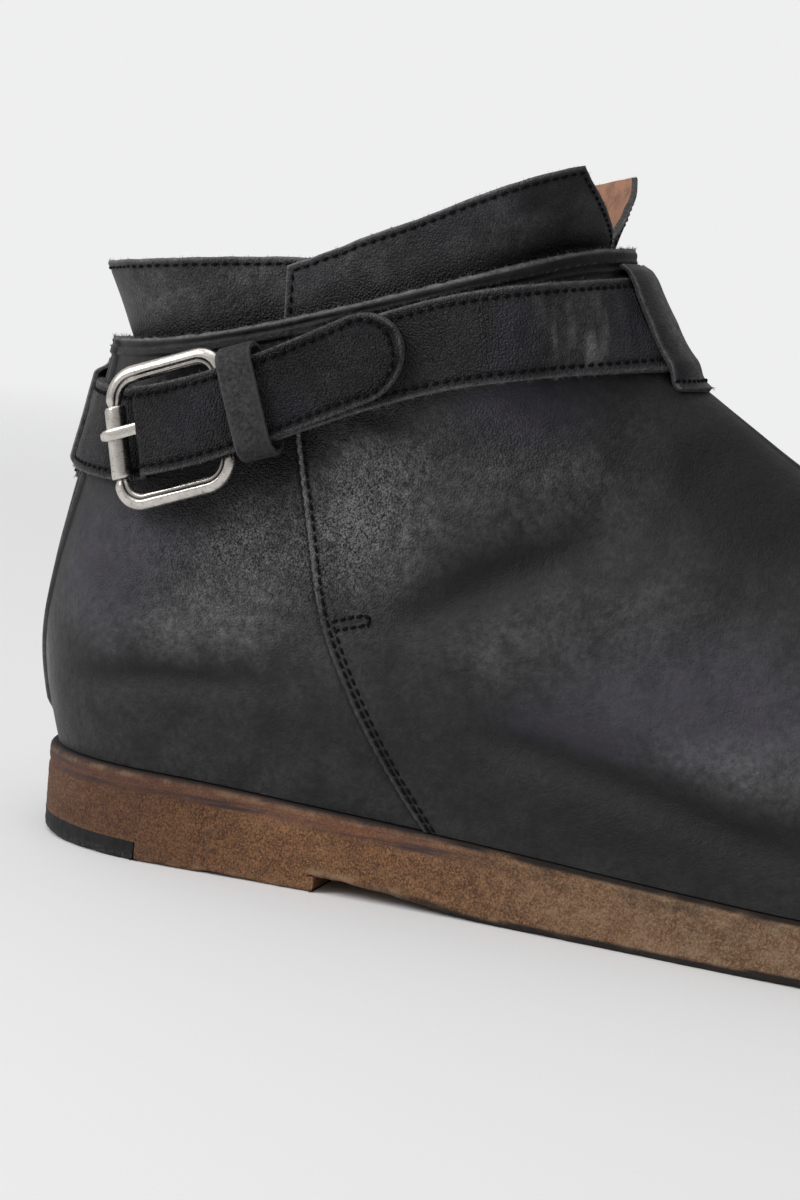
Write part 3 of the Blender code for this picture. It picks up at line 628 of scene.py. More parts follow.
# Folds in the leather: side, height of a ridge or depth of a trough, half width, (x, z) places
FOLDS = [
    ("outer", -1.7, 5.0, [(74, 51), (86, 57.5), (100, 66), (108, 70), (116, 74.5), (127, 79)]),
    ("outer", 1.0, 8.0, [(66, 70), (78, 74), (92, 82), (108, 90)]),
    ("outer", 1.2, 10.0, [(96, 54), (114, 60), (130, 64), (148, 64)]),
    ("outer", -1.6, 4.0, [(90, 40), (105, 36), (122, 33), (138, 29.8), (153, 26), (176, 23)]),
    ("outer", 1.9, 5.5, [(114, 46), (132, 41), (147, 37), (160, 33), (188, 29)]),
    ("outer", -1.1, 3.4, [(1, 34), (15, 35), (32, 38), (50, 39.5), (64, 40)]),
    ("outer", 0.6, 8.0, [(8, 50), (20, 54), (36, 58)]),
    ("outer", -0.9, 8.0, [(126, 93), (138, 87), (152, 79), (162, 72)]),
    ("inner", -1.5, 6.0, [(80, 58), (92, 66), (108, 76), (120, 84)]),
    ("inner", 1.0, 9.0, [(100, 54), (118, 60), (138, 62)]),
    ("inner", -1.3, 5.0, [(96, 42), (118, 36), (140, 31), (168, 26)]),
    ("inner", 1.4, 6.0, [(118, 46), (138, 40), (164, 35)]),
    ("inner", -0.8, 4.0, [(1, 35), (16, 37), (34, 39), (54, 41)]),
]

VAMP_RAISE = 0.7
STRIP_RAISE = 0.8
STRIP_HALF = 15.0
STRIP_WIDENS = 3.6
STRIP_WIDENS_FROM = 34.0
STRIP_WIDENS_TO = 82.0
STRIP_SEW = 1.4
STRIP_LOW = 24.0
BAND_LEVEL = 0.957
BAND_RAISE = 0.55
GAP_LEVEL = 0.969
GAP_STARTS = 55.0
GAP_FADE = 12.0
SPLIT_LEVEL = 0.983
SPLIT_BELOW = 0.006
STRIP_STOPS = np.concatenate([[0, 4, 8, 11, 12.6], np.arange(13.2, 20, 0.4), [20.8, 22]])
EDGE_STOPS = [-2, -1.3, -0.8, -0.4, -0.15, 0, 0.12, 0.25, 0.4, 0.6, 0.85, 1.1]
SEAM_STOPS = np.concatenate([EDGE_STOPS, np.arange(1.35, 3.7, 0.3), [4.0, 4.5]])
SEAM_ROW = 1.65
LOWER_ROW = 2.85
QUARTER_COLUMNS = 40
VAMP_COLUMNS = 120
UPPER_ROWS = 112
BAND_ROWS = 22
LINING_STEP = 4
LOWER_ENDS = 55.0
UP = np.array((0, 0, 1.0))


def upper_rows():
    """Levels of the upper's rows of points, closest together in the topline band."""
    part = np.linspace(0, 1, UPPER_ROWS)
    rows = part + 0.25 * part * (1 - part)
    top = np.linspace(BAND_LEVEL - 0.012, 1, BAND_ROWS)
    return np.concatenate([rows[rows < top[0] - 0.004], top])


def upper_grid():
    """The upper's plain outer face: points, distance from the side seam and from the back seam."""
    grid = []
    seam_gap = []
    back_gap = []
    for level in upper_rows():
        halves = []
        for side in SIDES:
            line = girth(flat_level(level), side)
            run = run_of(line)
            seam = np.interp(0, line[:, 0] - along(SEAM, "x", line[:, 2]), run)
            quarter = np.linspace(STRIP_STOPS[-1], seam + SEAM_STOPS[0], QUARTER_COLUMNS + 2)[1:-1]
            vamp = np.linspace(seam + SEAM_STOPS[-1], run[-1], VAMP_COLUMNS + 1)[1:]
            stops = np.concatenate([STRIP_STOPS, quarter, seam + SEAM_STOPS, vamp])
            halves.append(np.column_stack([at(line, stops), stops - seam, stops]))
        joined = np.concatenate([halves[0], halves[1][-2:0:-1]])
        grid.append(joined[:, :3])
        seam_gap.append(joined[:, 3])
        back_gap.append(joined[:, 4])
    return np.array(grid), np.array(seam_gap), np.array(back_gap)


def strip_half(z):
    """Half the width of the strip over the back seam, narrower towards the sole."""
    part = (z - STRIP_WIDENS_FROM) / (STRIP_WIDENS_TO - STRIP_WIDENS_FROM)
    return STRIP_HALF + STRIP_WIDENS * eased(part)


def open_front(grid):
    """1 towards the front, where the topline band stands open below, and 0 at the back."""
    return eased((grid[..., 0] - GAP_STARTS) / GAP_FADE)


def split_edge(grid, levels):
    """The wavering groove between the two raw edges of the topline band, 1 at its bottom."""
    waver = 0.003 * rough(grid, 11, 38)
    return bell(levels - SPLIT_LEVEL - waver, 0.0045) * np.clip(0.75 + 0.5 * rough(grid, 6, 39), 0, 1)


def upper_relief(grid, seam_gap, back_gap, levels):
    """How far each point of the outer face stands out from the plain last."""
    z = grid[..., 2]
    outer_side = grid[..., 1] < along(FOOT, "axis", grid[..., 0])
    plan = grid[..., [0, 2]]
    raised = VAMP_RAISE * eased(seam_gap / 0.3) + 0.12 * bell(seam_gap - 0.55, 0.4)
    raised = raised - 0.16 * bell(seam_gap + 0.25, 0.35)
    raised = raised - 0.24 * bell(seam_gap - SEAM_ROW, 0.4)
    raised = raised - 0.24 * bell(seam_gap - LOWER_ROW, 0.4) * eased((LOWER_ENDS - z) / 2)
    strip = STRIP_RAISE * (1 - eased((back_gap - strip_half(z)) / 0.7))
    strip = strip - 0.3 * bell(back_gap - strip_half(z) + STRIP_SEW, 0.5)
    strip = strip * eased((z - STRIP_LOW) / 3.0)
    band_up = eased((levels - BAND_LEVEL) / 0.006) * (1 - 0.5 * eased((levels - 0.99) / 0.01))
    band_up = BAND_RAISE * band_up - 0.4 * split_edge(grid, levels)
    for side, height, width, path in FOLDS:
        gap, share = from_line(plan, path)
        ends = eased(share / 0.25) * eased((1 - share) / 0.25)
        raised = raised + height * bell(gap, width) * ends * (outer_side == (side == "outer"))
    soft = 0.3 * rough(grid, 26, 31) + 0.1 * rough(grid, 8, 32)
    band_up = band_up + 0.22 * rough(grid, 2.6, 36) * eased((levels - BAND_LEVEL) / 0.01)
    band_up = band_up - 0.7 * bell(levels - GAP_LEVEL, 0.007) * open_front(grid)
    return raised + strip + band_up + soft * eased((0.9 - levels) / 0.1)


def patches(plan, outer_side, spots, most=1.0):
    """Soft patches from (x, z, x radius, z radius, strength) spots, weaker on the inner side."""
    total = np.zeros(plan.shape[:-1])
    for x, z, wide, high, strength in spots:
        away = ((plan[..., 0] - x) / wide) ** 2 + ((plan[..., 1] - z) / high) ** 2
        total = total + strength * np.exp(-away) * np.where(outer_side, 1, 0.6)
    return np.clip(total, 0, most)


# Patches of each tone on the sides: x, z, radius along x, radius up, strength
# Wax bloom and painted light, where the sides face the light
BLOOM_AND_LIGHT = [
    (72, 74, 12, 15, 1.5),
    (90, 84, 20, 8, 0.3),
    (108, 85, 20, 10, 0.28),
    (47, 64, 14, 14, 1.2),
    (20, 58, 12, 13, 0.2),
    (27, 63, 9, 7, 0.4),
    (44, 28, 60, 12, 0.12),
    (34, 49, 20, 8, 0.55),
    (118, 60, 16, 9, 0.32),
    (100, 52, 9, 6, 0.25),
    (152, 38, 19, 5, 0.45),
    (140, 52, 22, 10, 0.2),
    (180, 44, 30, 12, 0.28),
    (226, 40, 34, 14, 0.24),
    # a painted reflection along the heel's back edge
    (1, 32, 5, 9, 1.2),
]
VIOLET = [
    (20, 58, 11, 13, 1.0),
    (34, 66, 8, 10, 0.5),
    (144, 48, 24, 11, 0.9),
    (101, 98, 11, 7, 0.9),
    (118, 39, 14, 5, 0.7),
    (200, 44, 30, 12, 0.5),
]
SHADE = [
    (147, 85, 16, 9.5, 1.0),
    (136, 92, 12, 9, 0.75),
    (28, 52, 6, 5, 0.35),
    (32, 39, 18, 2.2, 0.4),
    (19, 57, 5, 3, 0.3),
    (86, 30, 40, 9, 0.3),
    (140, 22, 40, 7, 0.6),
    (40, 31, 40, 5, 0.3),
    (34, 78, 14, 6, 0.7),
    (37, 70, 9, 3.5, 0.6),
    (53, 84, 7, 9, 0.8),
    (58, 87, 9, 4, 0.7),
    (73, 92.5, 9, 2.4, 0.85),
    (98, 66, 10, 5, 0.5),
]
GRAIN = [
    (74, 78, 12, 14, 1.0),
    (68, 62, 9, 9, 0.7),
    (50, 70, 15, 15, 1.0),
    (36, 62, 14, 12, 0.4),
    (92, 90, 18, 8, 0.5),
]


def waxed_leather(name, dark, pale, pebble, dull=0.38):
    """Black waxed leather: soft blotches of bloom and painted light, painted shade in creases, pebbled where
    worked.
    """
    finish = Finish(name)
    bloom_and_light = finish.painted("bloom_and_light")
    grain = finish.painted("grain")
    cloud = finish.noise(48, 5, 0.6)
    mottle = finish.span(finish.noise(100, 10, 0.75), 0.4, 0.62)
    fibre = finish.noise(620, 6, 0.75)
    stretch = finish.node("ShaderNodeTexNoise", {"Vector": finish.sized(600), "Scale": 1.0})
    inputs = {0: stretch.outputs["Color"], 1: (0.7, 0.7, 0.7), 2: finish.sized(2300)}
    place = finish.node("ShaderNodeVectorMath", inputs, operation="MULTIPLY_ADD").outputs[0]
    cells = finish.node("ShaderNodeTexVoronoi", {"Vector": place, "Scale": 1.0}).outputs["Distance"]
    tops = finish.span(cells, 0.1, 0.9, 1.0, 0.0)
    speck = finish.noise(1700, 3, 0.6)
    even = finish.span(grain, 0.0, 1.0, 0.3, 0.8)
    blotchy = finish.node("ShaderNodeMapRange", {"Value": mottle, "To Min": even, "To Max": 1.1})
    # Bloom paint: wax bloom, plus painted light and painted highlights where pieces face the light
    lightened = finish.times(bloom_and_light, blotchy.outputs["Result"])
    lightened = finish.plus(lightened, finish.span(mottle, 0.0, 1.0, 0.02, 0.16))
    between = finish.span(cells, 0.15, 0.8, -0.6, 0.7)
    hollow = finish.plus(between, finish.span(speck, 0.32, 0.68, 0.5, -0.5))
    speckle = finish.times(grain, hollow)
    share = finish.times(lightened, finish.math("SUBTRACT", 1.0, speckle))
    share = finish.times(share, finish.span(fibre, 0.33, 0.66, 0.3, 1.75))
    colour = finish.mix(finish.times(share, 0.45), dark, pale)
    violet = finish.times(finish.painted("violet"), finish.span(mottle, 0.0, 1.0, 0.4, 0.9))
    colour = finish.mix(violet, colour, (0.036, 0.031, 0.049))
    # Painted shade in creases, recesses and under other parts
    colour = finish.mix(finish.painted("shade"), colour, (0.0022, 0.0022, 0.0024))
    # Pale streaks within the bloom paint: partly scuffs, partly painted sheen
    scuff_and_sheen = finish.span(finish.noise((140, 140, 420), 8, 0.75), 0.6, 0.76, 0, 0.5)
    colour = finish.mix(finish.times(scuff_and_sheen, bloom_and_light), colour, (0.1, 0.099, 0.099))
    # Pale raw cut edges, and near the strap's front a painted highlight on its wrinkles
    paler = finish.times(finish.painted("cut"), finish.span(fibre, 0.35, 0.62, 0.45, 1.2))
    colour = finish.mix(paler, colour, (0.19, 0.188, 0.186))
    deep = finish.span(grain, 0.0, 1.0, 0.06, 1.0)
    relief = finish.plus(finish.times(tops, deep), finish.times(fibre, 0.4))
    under = finish.bump(cloud, 1.3, strength=0.5)
    normal = finish.bump(relief, pebble, under)
    polish = finish.plus(cloud, finish.times(mottle, 0.25))
    gloss = finish.span(polish, 0.4, 0.85, dull, dull + 0.16)
    return finish.wear(Base_Color=colour, Roughness=gloss, Normal=normal, Specular_IOR_Level=0.27)


UPPER_LEATHER = waxed_leather("upper_leather", (0.005, 0.005, 0.0053), (0.21, 0.21, 0.212), 0.75)


def walled(name, outer, inner, wrap, finishes, paints, edge_finish=0):
    """A solid between two grids with the same columns, closed round its edges.

    Its finishes are those of the outer face, the inner face and, if given, the edges.
    """
    rows, columns = outer.shape[:2]
    lining_rows = inner.shape[0]
    skin = np.arange(rows * columns).reshape(rows, columns)
    lining = rows * columns + np.arange(lining_rows * columns).reshape(lining_rows, columns)
    outside = [band(skin[k], skin[k + 1], wrap) for k in range(rows - 1)]
    inside = [band(lining[k + 1], lining[k], wrap) for k in range(lining_rows - 1)]
    edges = [band(lining[0], skin[0], wrap), band(skin[-1], lining[-1], wrap)]
    if not wrap:
        edges += [band(skin[:, 0], lining[:, 0], False), band(lining[:, -1], skin[:, -1], False)]
    groups = [np.concatenate(group) for group in (outside, inside, edges)]
    which = np.repeat([0, 1, edge_finish], [len(group) for group in groups])
    points = np.concatenate([outer.reshape(-1, 3), inner.reshape(-1, 3)])
    rest = lining_rows * columns
    full = {key: np.concatenate([np.ravel(values), np.zeros(rest)]) for key, values in paints.items()}
    return piece(name, points, np.concatenate(groups), finishes, which, full)


levels = upper_rows()[:, None]
upper_plain, seam_gap, back_gap = upper_grid()
upper_normals = facing(upper_plain, wrap=True)
upper_out = upper_relief(upper_plain, seam_gap, back_gap, levels)
upper_skin = upper_plain + upper_out[..., None] * upper_normals
lining_rows = [*range(0, len(upper_plain) - 1, LINING_STEP), -1]
upper_lining = (upper_plain - WALL * upper_normals)[lining_rows]
for face in (upper_skin, upper_lining):
    face[0, :, 2] = along(FOOT, "feather", face[0, :, 0])
upper_skin[-1, :, 2] += 0.35 * rough(upper_skin[-1], 1.7, 37)
upper_sides = upper_plain[..., 1] < along(FOOT, "axis", upper_plain[..., 0])
upper_plan = upper_plain[..., [0, 2]]
# Painted shade: in the folds' troughs, just outside the raised back strip, in the open gap under the topline
# band at the front and in the groove between its two raw edges.
upper_crease = np.zeros_like(seam_gap)
for side, height, width, path in FOLDS:
    if height < 0:
        gap, share = from_line(upper_plan, path)
        ends = eased(share / 0.3) * eased((1 - share) / 0.3)
        on_side = upper_sides == (side == "outer")
        upper_crease = np.maximum(upper_crease, -0.45 * height * bell(gap, 0.8 * width) * ends * on_side)
strip_over = back_gap - strip_half(upper_plain[..., 2])
strip_edge = 0.9 * bell(strip_over - 0.9, 0.7) * eased((upper_plain[..., 2] - STRIP_LOW) / 3)
topline_gap = 0.95 * bell(levels - GAP_LEVEL, 0.008) * open_front(upper_plain)
upper_cut = 0.8 * eased((levels - 0.992) / 0.006) * np.ones_like(seam_gap)
upper_cut = np.maximum(upper_cut, 0.3 * bell(strip_over + 0.2, 0.5) * (upper_plain[..., 2] > STRIP_LOW))
upper_dark = upper_crease + strip_edge + topline_gap + 0.9 * split_edge(upper_plain, levels)
upper_paints = {
    "bloom_and_light": patches(upper_plan, upper_sides, BLOOM_AND_LIGHT, 1.6),
    "violet": patches(upper_plan, upper_sides, VIOLET),
    "shade": np.clip(patches(upper_plan, upper_sides, SHADE) + upper_dark, 0, 0.95),
    "grain": patches(upper_plan, upper_sides, GRAIN),
    "cut": upper_cut,
}
upper = walled("upper_leather_body", upper_skin, upper_lining, True, [UPPER_LEATHER, LINING], upper_paints)
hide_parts("upper")


def pale_fibre():
    """Grey flesh fibres that stand out of a cut edge."""
    finish = Finish("loose_fibre")
    tone = finish.noise(600, 2)
    colour = finish.mix(finish.span(tone, 0.35, 0.65), (0.03, 0.03, 0.03), (0.2, 0.195, 0.19))
    return finish.wear(Base_Color=colour, Roughness=0.9)


LOOSE_FIBRE = pale_fibre()


def fray(name, edges, seed):
    """Short loose fibres along cut edges, from (line, directions, fibres per mm, length) edges."""
    draw = np.random.default_rng(seed)
    roots = []
    tips = []
    for line, directions, density, length in edges:
        run = run_of(line)
        count = int(run[-1] * density)
        places = draw.uniform(0, run[-1], count)
        heading = np.stack([np.interp(places, run, directions[:, k]) for k in range(3)], axis=-1)
        heading = unit(unit(heading) + 0.55 * draw.normal(size=(count, 3)))
        roots.append(at(line, places))
        tips.append(roots[-1] + heading * (length * draw.uniform(0.3, 1, count) ** 2)[:, None])
    roots = np.concatenate(roots)
    tips = np.concatenate(tips)
    heading = unit(tips - roots)
    beside = unit(np.cross(heading, draw.normal(size=heading.shape)))
    across = np.cross(heading, beside)
    ring = [np.cos(turn) * beside + np.sin(turn) * across for turn in np.radians([0, 120, 240])]
    points = np.stack([roots - 0.15 * heading + 0.045 * way for way in ring] + [tips], axis=1)
    faces = np.array([(0, 1, 3), (1, 2, 3), (2, 0, 3), (0, 2, 1)])
    faces = (faces[None] + 4 * np.arange(len(roots))[:, None, None]).reshape(-1, 3)
    made = piece(name, points.reshape(-1, 3), faces, [LOOSE_FIBRE])


upwards = np.tile(UP, (upper_skin.shape[1], 1))
second_edge = int(np.argmin(abs(upper_rows() - SPLIT_LEVEL + SPLIT_BELOW)))
beneath = upper_skin[second_edge], upwards + upper_normals[second_edge], 3.0, 0.8
fray("topline_fibres", [(upper_skin[-1], upwards, 5.0, 1.1), beneath], 5)

# Seams of the upper
# Black waxed thread holds the vamp's lapped edge: one row down to a small bar tack, two rows below
# it. One more row runs up each side of the back strip.

STITCH = 2.1
VAMP_THREAD = {"thick": 0.36, "fill": 0.95}
TACK_PITCH = 1.6
SEAM_TOP = 100.0
LOWER_TOP = 53.0
STRIP_TOP = 88.0
STRIP_BESIDE = 8


def thread():
    """Black waxed thread."""
    finish = Finish("black_thread")
    twist = finish.noise(2600, 2)
    colour = finish.mix(finish.span(twist, 0.35, 0.7), (0.0015, 0.0015, 0.0017), (0.005, 0.005, 0.0053))
    normal = finish.bump(twist, 0.05)
    return finish.wear(Base_Color=colour, Roughness=0.75, Specular_IOR_Level=0.12, Normal=normal)


THREAD = thread()
STITCH_RINGS = np.array([-0.5, -0.4, -0.2, 0.0, 0.2, 0.4, 0.5])
STITCH_SIDES = 6


def stitches(line, normals, pitch=STITCH, slant=0.16, thick=0.3, fill=0.8):
    """Points and faces of single stitches along a line on leather, each dipping in at its ends."""
    run = run_of(line)
    count = max(int(run[-1] / pitch), 1)
    middles = (np.arange(count) + 0.5) * run[-1] / count
    centre = at(line, middles)
    forward = unit(at(line, middles + 0.3) - at(line, middles - 0.3))
    outward = unit(np.stack([np.interp(middles, run, normals[:, k]) for k in range(3)], axis=-1))
    beside = unit(np.cross(outward, forward))
    forward = unit(forward + slant * beside)
    beside = np.cross(outward, forward)
    turns = np.linspace(0, 2 * np.pi, STITCH_SIDES, endpoint=False)
    length = fill * run[-1] / count
    points = []
    for place in STITCH_RINGS:
        round_off = np.sqrt(max(1 - (2 * place) ** 2, 0.06))
        sunk = 0.12 - 0.34 * (2 * place) ** 2
        axis = centre + place * length * forward + sunk * outward
        for turn in turns:
            points.append(axis + thick * round_off * (np.cos(turn) * beside + 0.8 * np.sin(turn) * outward))
    points = np.stack(points, axis=1)
    size = points.shape[1]
    one = np.arange(size).reshape(len(STITCH_RINGS), STITCH_SIDES)
    faces = [band(one[k], one[k + 1], True) for k in range(len(one) - 1)]
    faces += [end[[[0, 1, 2, 3], [0, 3, 4, 5]]] for end in (one[0], one[-1])]
    faces = np.concatenate(faces)
    faces = (faces[None] + size * np.arange(count)[:, None, None]).reshape(-1, 4)
    return points.reshape(-1, 3), faces


def sewing(name, rows):
    """One joined mesh of all the stitch rows of a piece."""
    points = []
    faces = []
    start = 0
    for row_points, row_faces in rows:
        points.append(row_points)
        faces.append(row_faces + start)
        start += len(row_points)
    made = piece(name, np.concatenate(points), np.concatenate(faces), [THREAD], crisp=180)


def on_vamp(places):
    """Points and normals on the raised vamp's outer side at (x, z) places."""
    x, z = np.array(places, float).T
    level = level_at(x, z)
    point, ahead, above = (on_last(x + a, level + b, "outer") for a, b in ((0, 0), (0.2, 0), (0, 0.002)))
    normal = unit(np.cross(ahead - point, above - point))
    return point + VAMP_RAISE * normal, normal


RIBBON_STEP = 0.27
RIBBON_DEEP = 0.9
RIBBON_TOP = 0.95
CUT_SHOWS = 52.0
CUT_FADE = 12.0


def seam_ribbon(turn):
    """The vamp's lapped edge in fine steps, pulled in at each stitch: outer face, normals, paints."""
    first = len(STRIP_STOPS) + QUARTER_COLUMNS
    kept = np.flatnonzero(upper_rows() < RIBBON_TOP)
    numbers = turn * np.arange(first, first + len(SEAM_STOPS))
    coarse = run_of(upper_plain[kept, numbers[0]])
    fine = np.linspace(0, coarse[-1], int(coarse[-1] / RIBBON_STEP))

    def finer(values):
        values = values[kept][:, numbers]
        flat = values.reshape(len(kept), -1)
        found = np.stack([np.interp(fine, coarse, flat[:, k]) for k in range(flat.shape[1])], axis=-1)
        return found.reshape(len(fine), *values.shape[1:])

    plain = finer(upper_plain)
    normals = unit(finer(upper_normals))
    sewn = run_of(plain[:, int(np.argmin(abs(SEAM_STOPS - SEAM_ROW)))])
    hole = 0.5 + 0.5 * np.cos(2 * np.pi * sewn / STITCH)[:, None]
    gap = SEAM_STOPS - 0.26 * hole + 0.14 * rough(plain, 5, 33) + 0.05 * rough(plain, 0.9, 34)
    lap = VAMP_RAISE * eased(gap / 0.28) - VAMP_RAISE * eased(SEAM_STOPS / 0.3)
    lap = lap + 0.1 - 0.2 * hole * bell(SEAM_STOPS - SEAM_ROW, 0.45)
    inside = eased((SEAM_STOPS + 1.3) / 0.6) * eased((4.4 - SEAM_STOPS) / 1.0)
    rise = finer(upper_out) + np.where(inside > 0, lap * inside, 0) - 0.25 * (1 - inside)
    showing = 0.15 + 0.85 * eased((plain[..., 2] - CUT_SHOWS) / CUT_FADE)
    cut = eased((gap + 0.05) / 0.15) * eased((1.2 - gap) / 0.3) * showing
    paints = {name: finer(values) for name, values in upper_paints.items()}
    paints["cut"] = np.clip(0.85 * cut + 0.2 * cut * rough(plain, 2.5, 35), 0, 1)
    # Painted shade on the quarter just under the lapped edge and in the stitch groove
    dark = paints["shade"] + 0.75 * bell(gap + 0.3, 0.35) + 0.8 * bell(gap - SEAM_ROW, 0.45)
    paints["shade"] = np.clip(dark, 0, 0.95)
    return plain + rise[..., None] * normals, normals, paints


seam_rows = []
for name, turn in (("outer_vamp_edge", 1), ("inner_vamp_edge", -1)):
    ribbon, ribbon_normals, ribbon_paints = seam_ribbon(turn)
    behind = ribbon - RIBBON_DEEP * ribbon_normals
    vamp_edge = walled(name, ribbon, behind, False, [UPPER_LEATHER, LINING], ribbon_paints)
    for place, top in ((SEAM_ROW, SEAM_TOP), (LOWER_ROW, LOWER_TOP)):
        column = int(np.argmin(abs(SEAM_STOPS - place)))
        sewn = ribbon[:, column, 2] < top
        seam_rows.append(stitches(ribbon[sewn, column], ribbon_normals[sewn, column], **VAMP_THREAD))
TACK = [(69.2, 51.6), (73.4, 52.9), (76.2, 53.7), (76.6, 54.9), (75.4, 55.4), (72.8, 54.7), (68.6, 53.3)]
seam_rows.append(stitches(*on_vamp(TACK), pitch=TACK_PITCH, **VAMP_THREAD))
strip_heights = upper_plain[:, 0, 2]
for turn in (1, -1):
    numbers = turn * np.arange(len(STRIP_STOPS))
    beside = numbers[STRIP_BESIDE]
    strip_line = []
    strip_normals = []
    for row in np.flatnonzero((strip_heights > STRIP_LOW + 2) & (strip_heights < STRIP_TOP)):
        place = strip_half(upper_plain[row, beside, 2]) - STRIP_SEW
        strip_line.append([np.interp(place, STRIP_STOPS, upper_skin[row, numbers, k]) for k in range(3)])
        strip_normals.append(upper_normals[row, beside])
    seam_rows.append(stitches(np.array(strip_line), np.array(strip_normals), slant=0.08, thick=0.2))
sewing("upper_stitching", seam_rows)

# Collar flaps
# Three flaps of the same leather, lined in tan, stand out of the topline: one round the back and
# two lapped over it at the front. Their edges are cut raw and sewn just inside the cut.

COLLAR_THICK = 1.5
COLLAR_INSET = 3.0
COLLAR_SEW = 1.6
FAR = 99.0
NOTCH_TOP = 132.0
NOTCH_CLEAR = 1.0
TUCK_STEPS = 500
REAR_STEPS = 75
FRONT_STEPS = 60
NOTCH_STEPS = 22
REAR_COLLAR = table(
    ("x", "top", "lean", "inset"),
    [
        (8.4, 117.2, 6.8, 3.0),
        (20, 118.6, 6.0, 3.0),
        (34, 120.4, 3.8, 3.2),
        (48, 122.0, 1.2, 5.0),
        (62, 122.8, 1.0, 5.0),
    ],
)
FRONT_COLLAR = table(
    ("x", "outer", "inner", "lean"),
    [
        (51, 120.4, 120.4, 1.4),
        (65, 126.4, 126.4, 1.8),
        (79, 132.4, 133.4, 2.4),
        (92, 138.3, 141.0, 3.6),
        (104.2, 144.6, 144.6, 6.2),
    ],
)
COLLAR_TUCK = np.linspace(0.92, 1.0, 6)
COLLAR_RISE = np.concatenate([np.linspace(0, 0.8, 14)[1:], np.linspace(0.82, 1, 11)])
TOPLINE = {side: girth(flat_level(1.0), side) for side in SIDES}


def straight(rows, column, place):
    """A column's value at a place along the table's first column, on straight lines."""
    return np.interp(place, next(iter(rows.values())), rows[column])


def share_at_x(line, x):
    """How far along a line from back to front a length x lies, from 0 to 1."""
    run = run_of(line)
    return np.interp(x, line[:, 0], run) / run[-1]


def collar_grid(columns, tops, leans, insets, seed):
    """Outer and inner faces of a flap, from its tucked rows up to its cut edge."""
    tucked = []
    for level in COLLAR_TUCK:
        lines = {side: girth(flat_level(level), side, TUCK_STEPS) for side in SIDES}
        tucked.append([at(lines[side], share * run_of(lines[side])[-1]) for side, share in columns])
    tucked = np.array(tucked)
    topline = tucked[-1]
    across = np.gradient(topline, axis=0)
    out = unit(np.stack([across[:, 1], -across[:, 0], np.zeros(len(across))], axis=-1))
    free = []
    for part in COLLAR_RISE:
        rise = part * (tops - topline[:, 2])
        place = topline + rise[:, None] * UP
        free.append(place + (leans * part)[:, None] * out)
    grid = np.concatenate([tucked, free])
    part = np.concatenate([np.zeros(len(tucked)), COLLAR_RISE])[:, None]
    wave = 0.8 * rough(grid, 14, seed) * part + 0.26 * rough(grid, 5, seed + 1) * part
    grid = grid + 0.16 * (part**8)[..., None] * rough(grid, 3, seed + 2)[..., None] * UP
    outer = grid - (insets - wave)[..., None] * out
    return outer, outer - COLLAR_THICK * out


def edge_gaps(grid):
    """Distances of a grid's points from its first column, its last column and its top row."""
    across = np.linalg.norm(np.diff(grid, axis=1), axis=-1)
    first = np.concatenate([np.zeros((len(grid), 1)), np.cumsum(across, axis=1)], axis=1)
    upward = np.linalg.norm(np.diff(grid, axis=0), axis=-1)
    height = np.concatenate([np.zeros((1, grid.shape[1])), np.cumsum(upward, axis=0)])
    return first, first[:, -1:] - first, height[-1:] - height


def sewn_edge(grid, normals, start_row):
    """A line sewn a little inside a flap's free edge: up one side, along the top, down the other."""
    first, last, top = edge_gaps(grid)
    up = []
    for k in range(start_row, len(grid)):
        if np.min(top[k]) >= COLLAR_SEW:
            up.append(k)
    left = [[np.interp(COLLAR_SEW, first[k], grid[k, :, c]) for c in range(3)] for k in up]
    right = [[np.interp(COLLAR_SEW, last[k, ::-1], grid[k, ::-1, c]) for c in range(3)] for k in up]
    over = []
    for j in range(grid.shape[1]):
        if min(first[-1, j], last[-1, j]) >= COLLAR_SEW:
            over.append([np.interp(COLLAR_SEW, top[::-1, j], grid[::-1, j, c]) for c in range(3)])
    line = np.array(left + over + right[::-1])
    nearest = [np.argmin(np.linalg.norm(grid - point, axis=-1)) for point in line]
    return line, normals.reshape(-1, 3)[nearest]


COLLAR_LEATHER = waxed_leather("collar_leather", (0.006, 0.006, 0.0064), (0.17, 0.17, 0.172), 0.4)


def raw_edge():
    """The grey, fibrous face of a cut through the leather."""
    finish = Finish("raw_cut_edge")
    fibre = finish.noise(1400, 5, 0.7)
    colour = finish.mix(finish.span(fibre, 0.35, 0.68), (0.02, 0.019, 0.019), (0.1, 0.095, 0.09))
    return finish.wear(Base_Color=colour, Roughness=0.85, Normal=finish.bump(fibre, 0.25))


RAW_EDGE = raw_edge()
collar_rows = []
collar_edges = []
tuck_rows = len(COLLAR_TUCK)


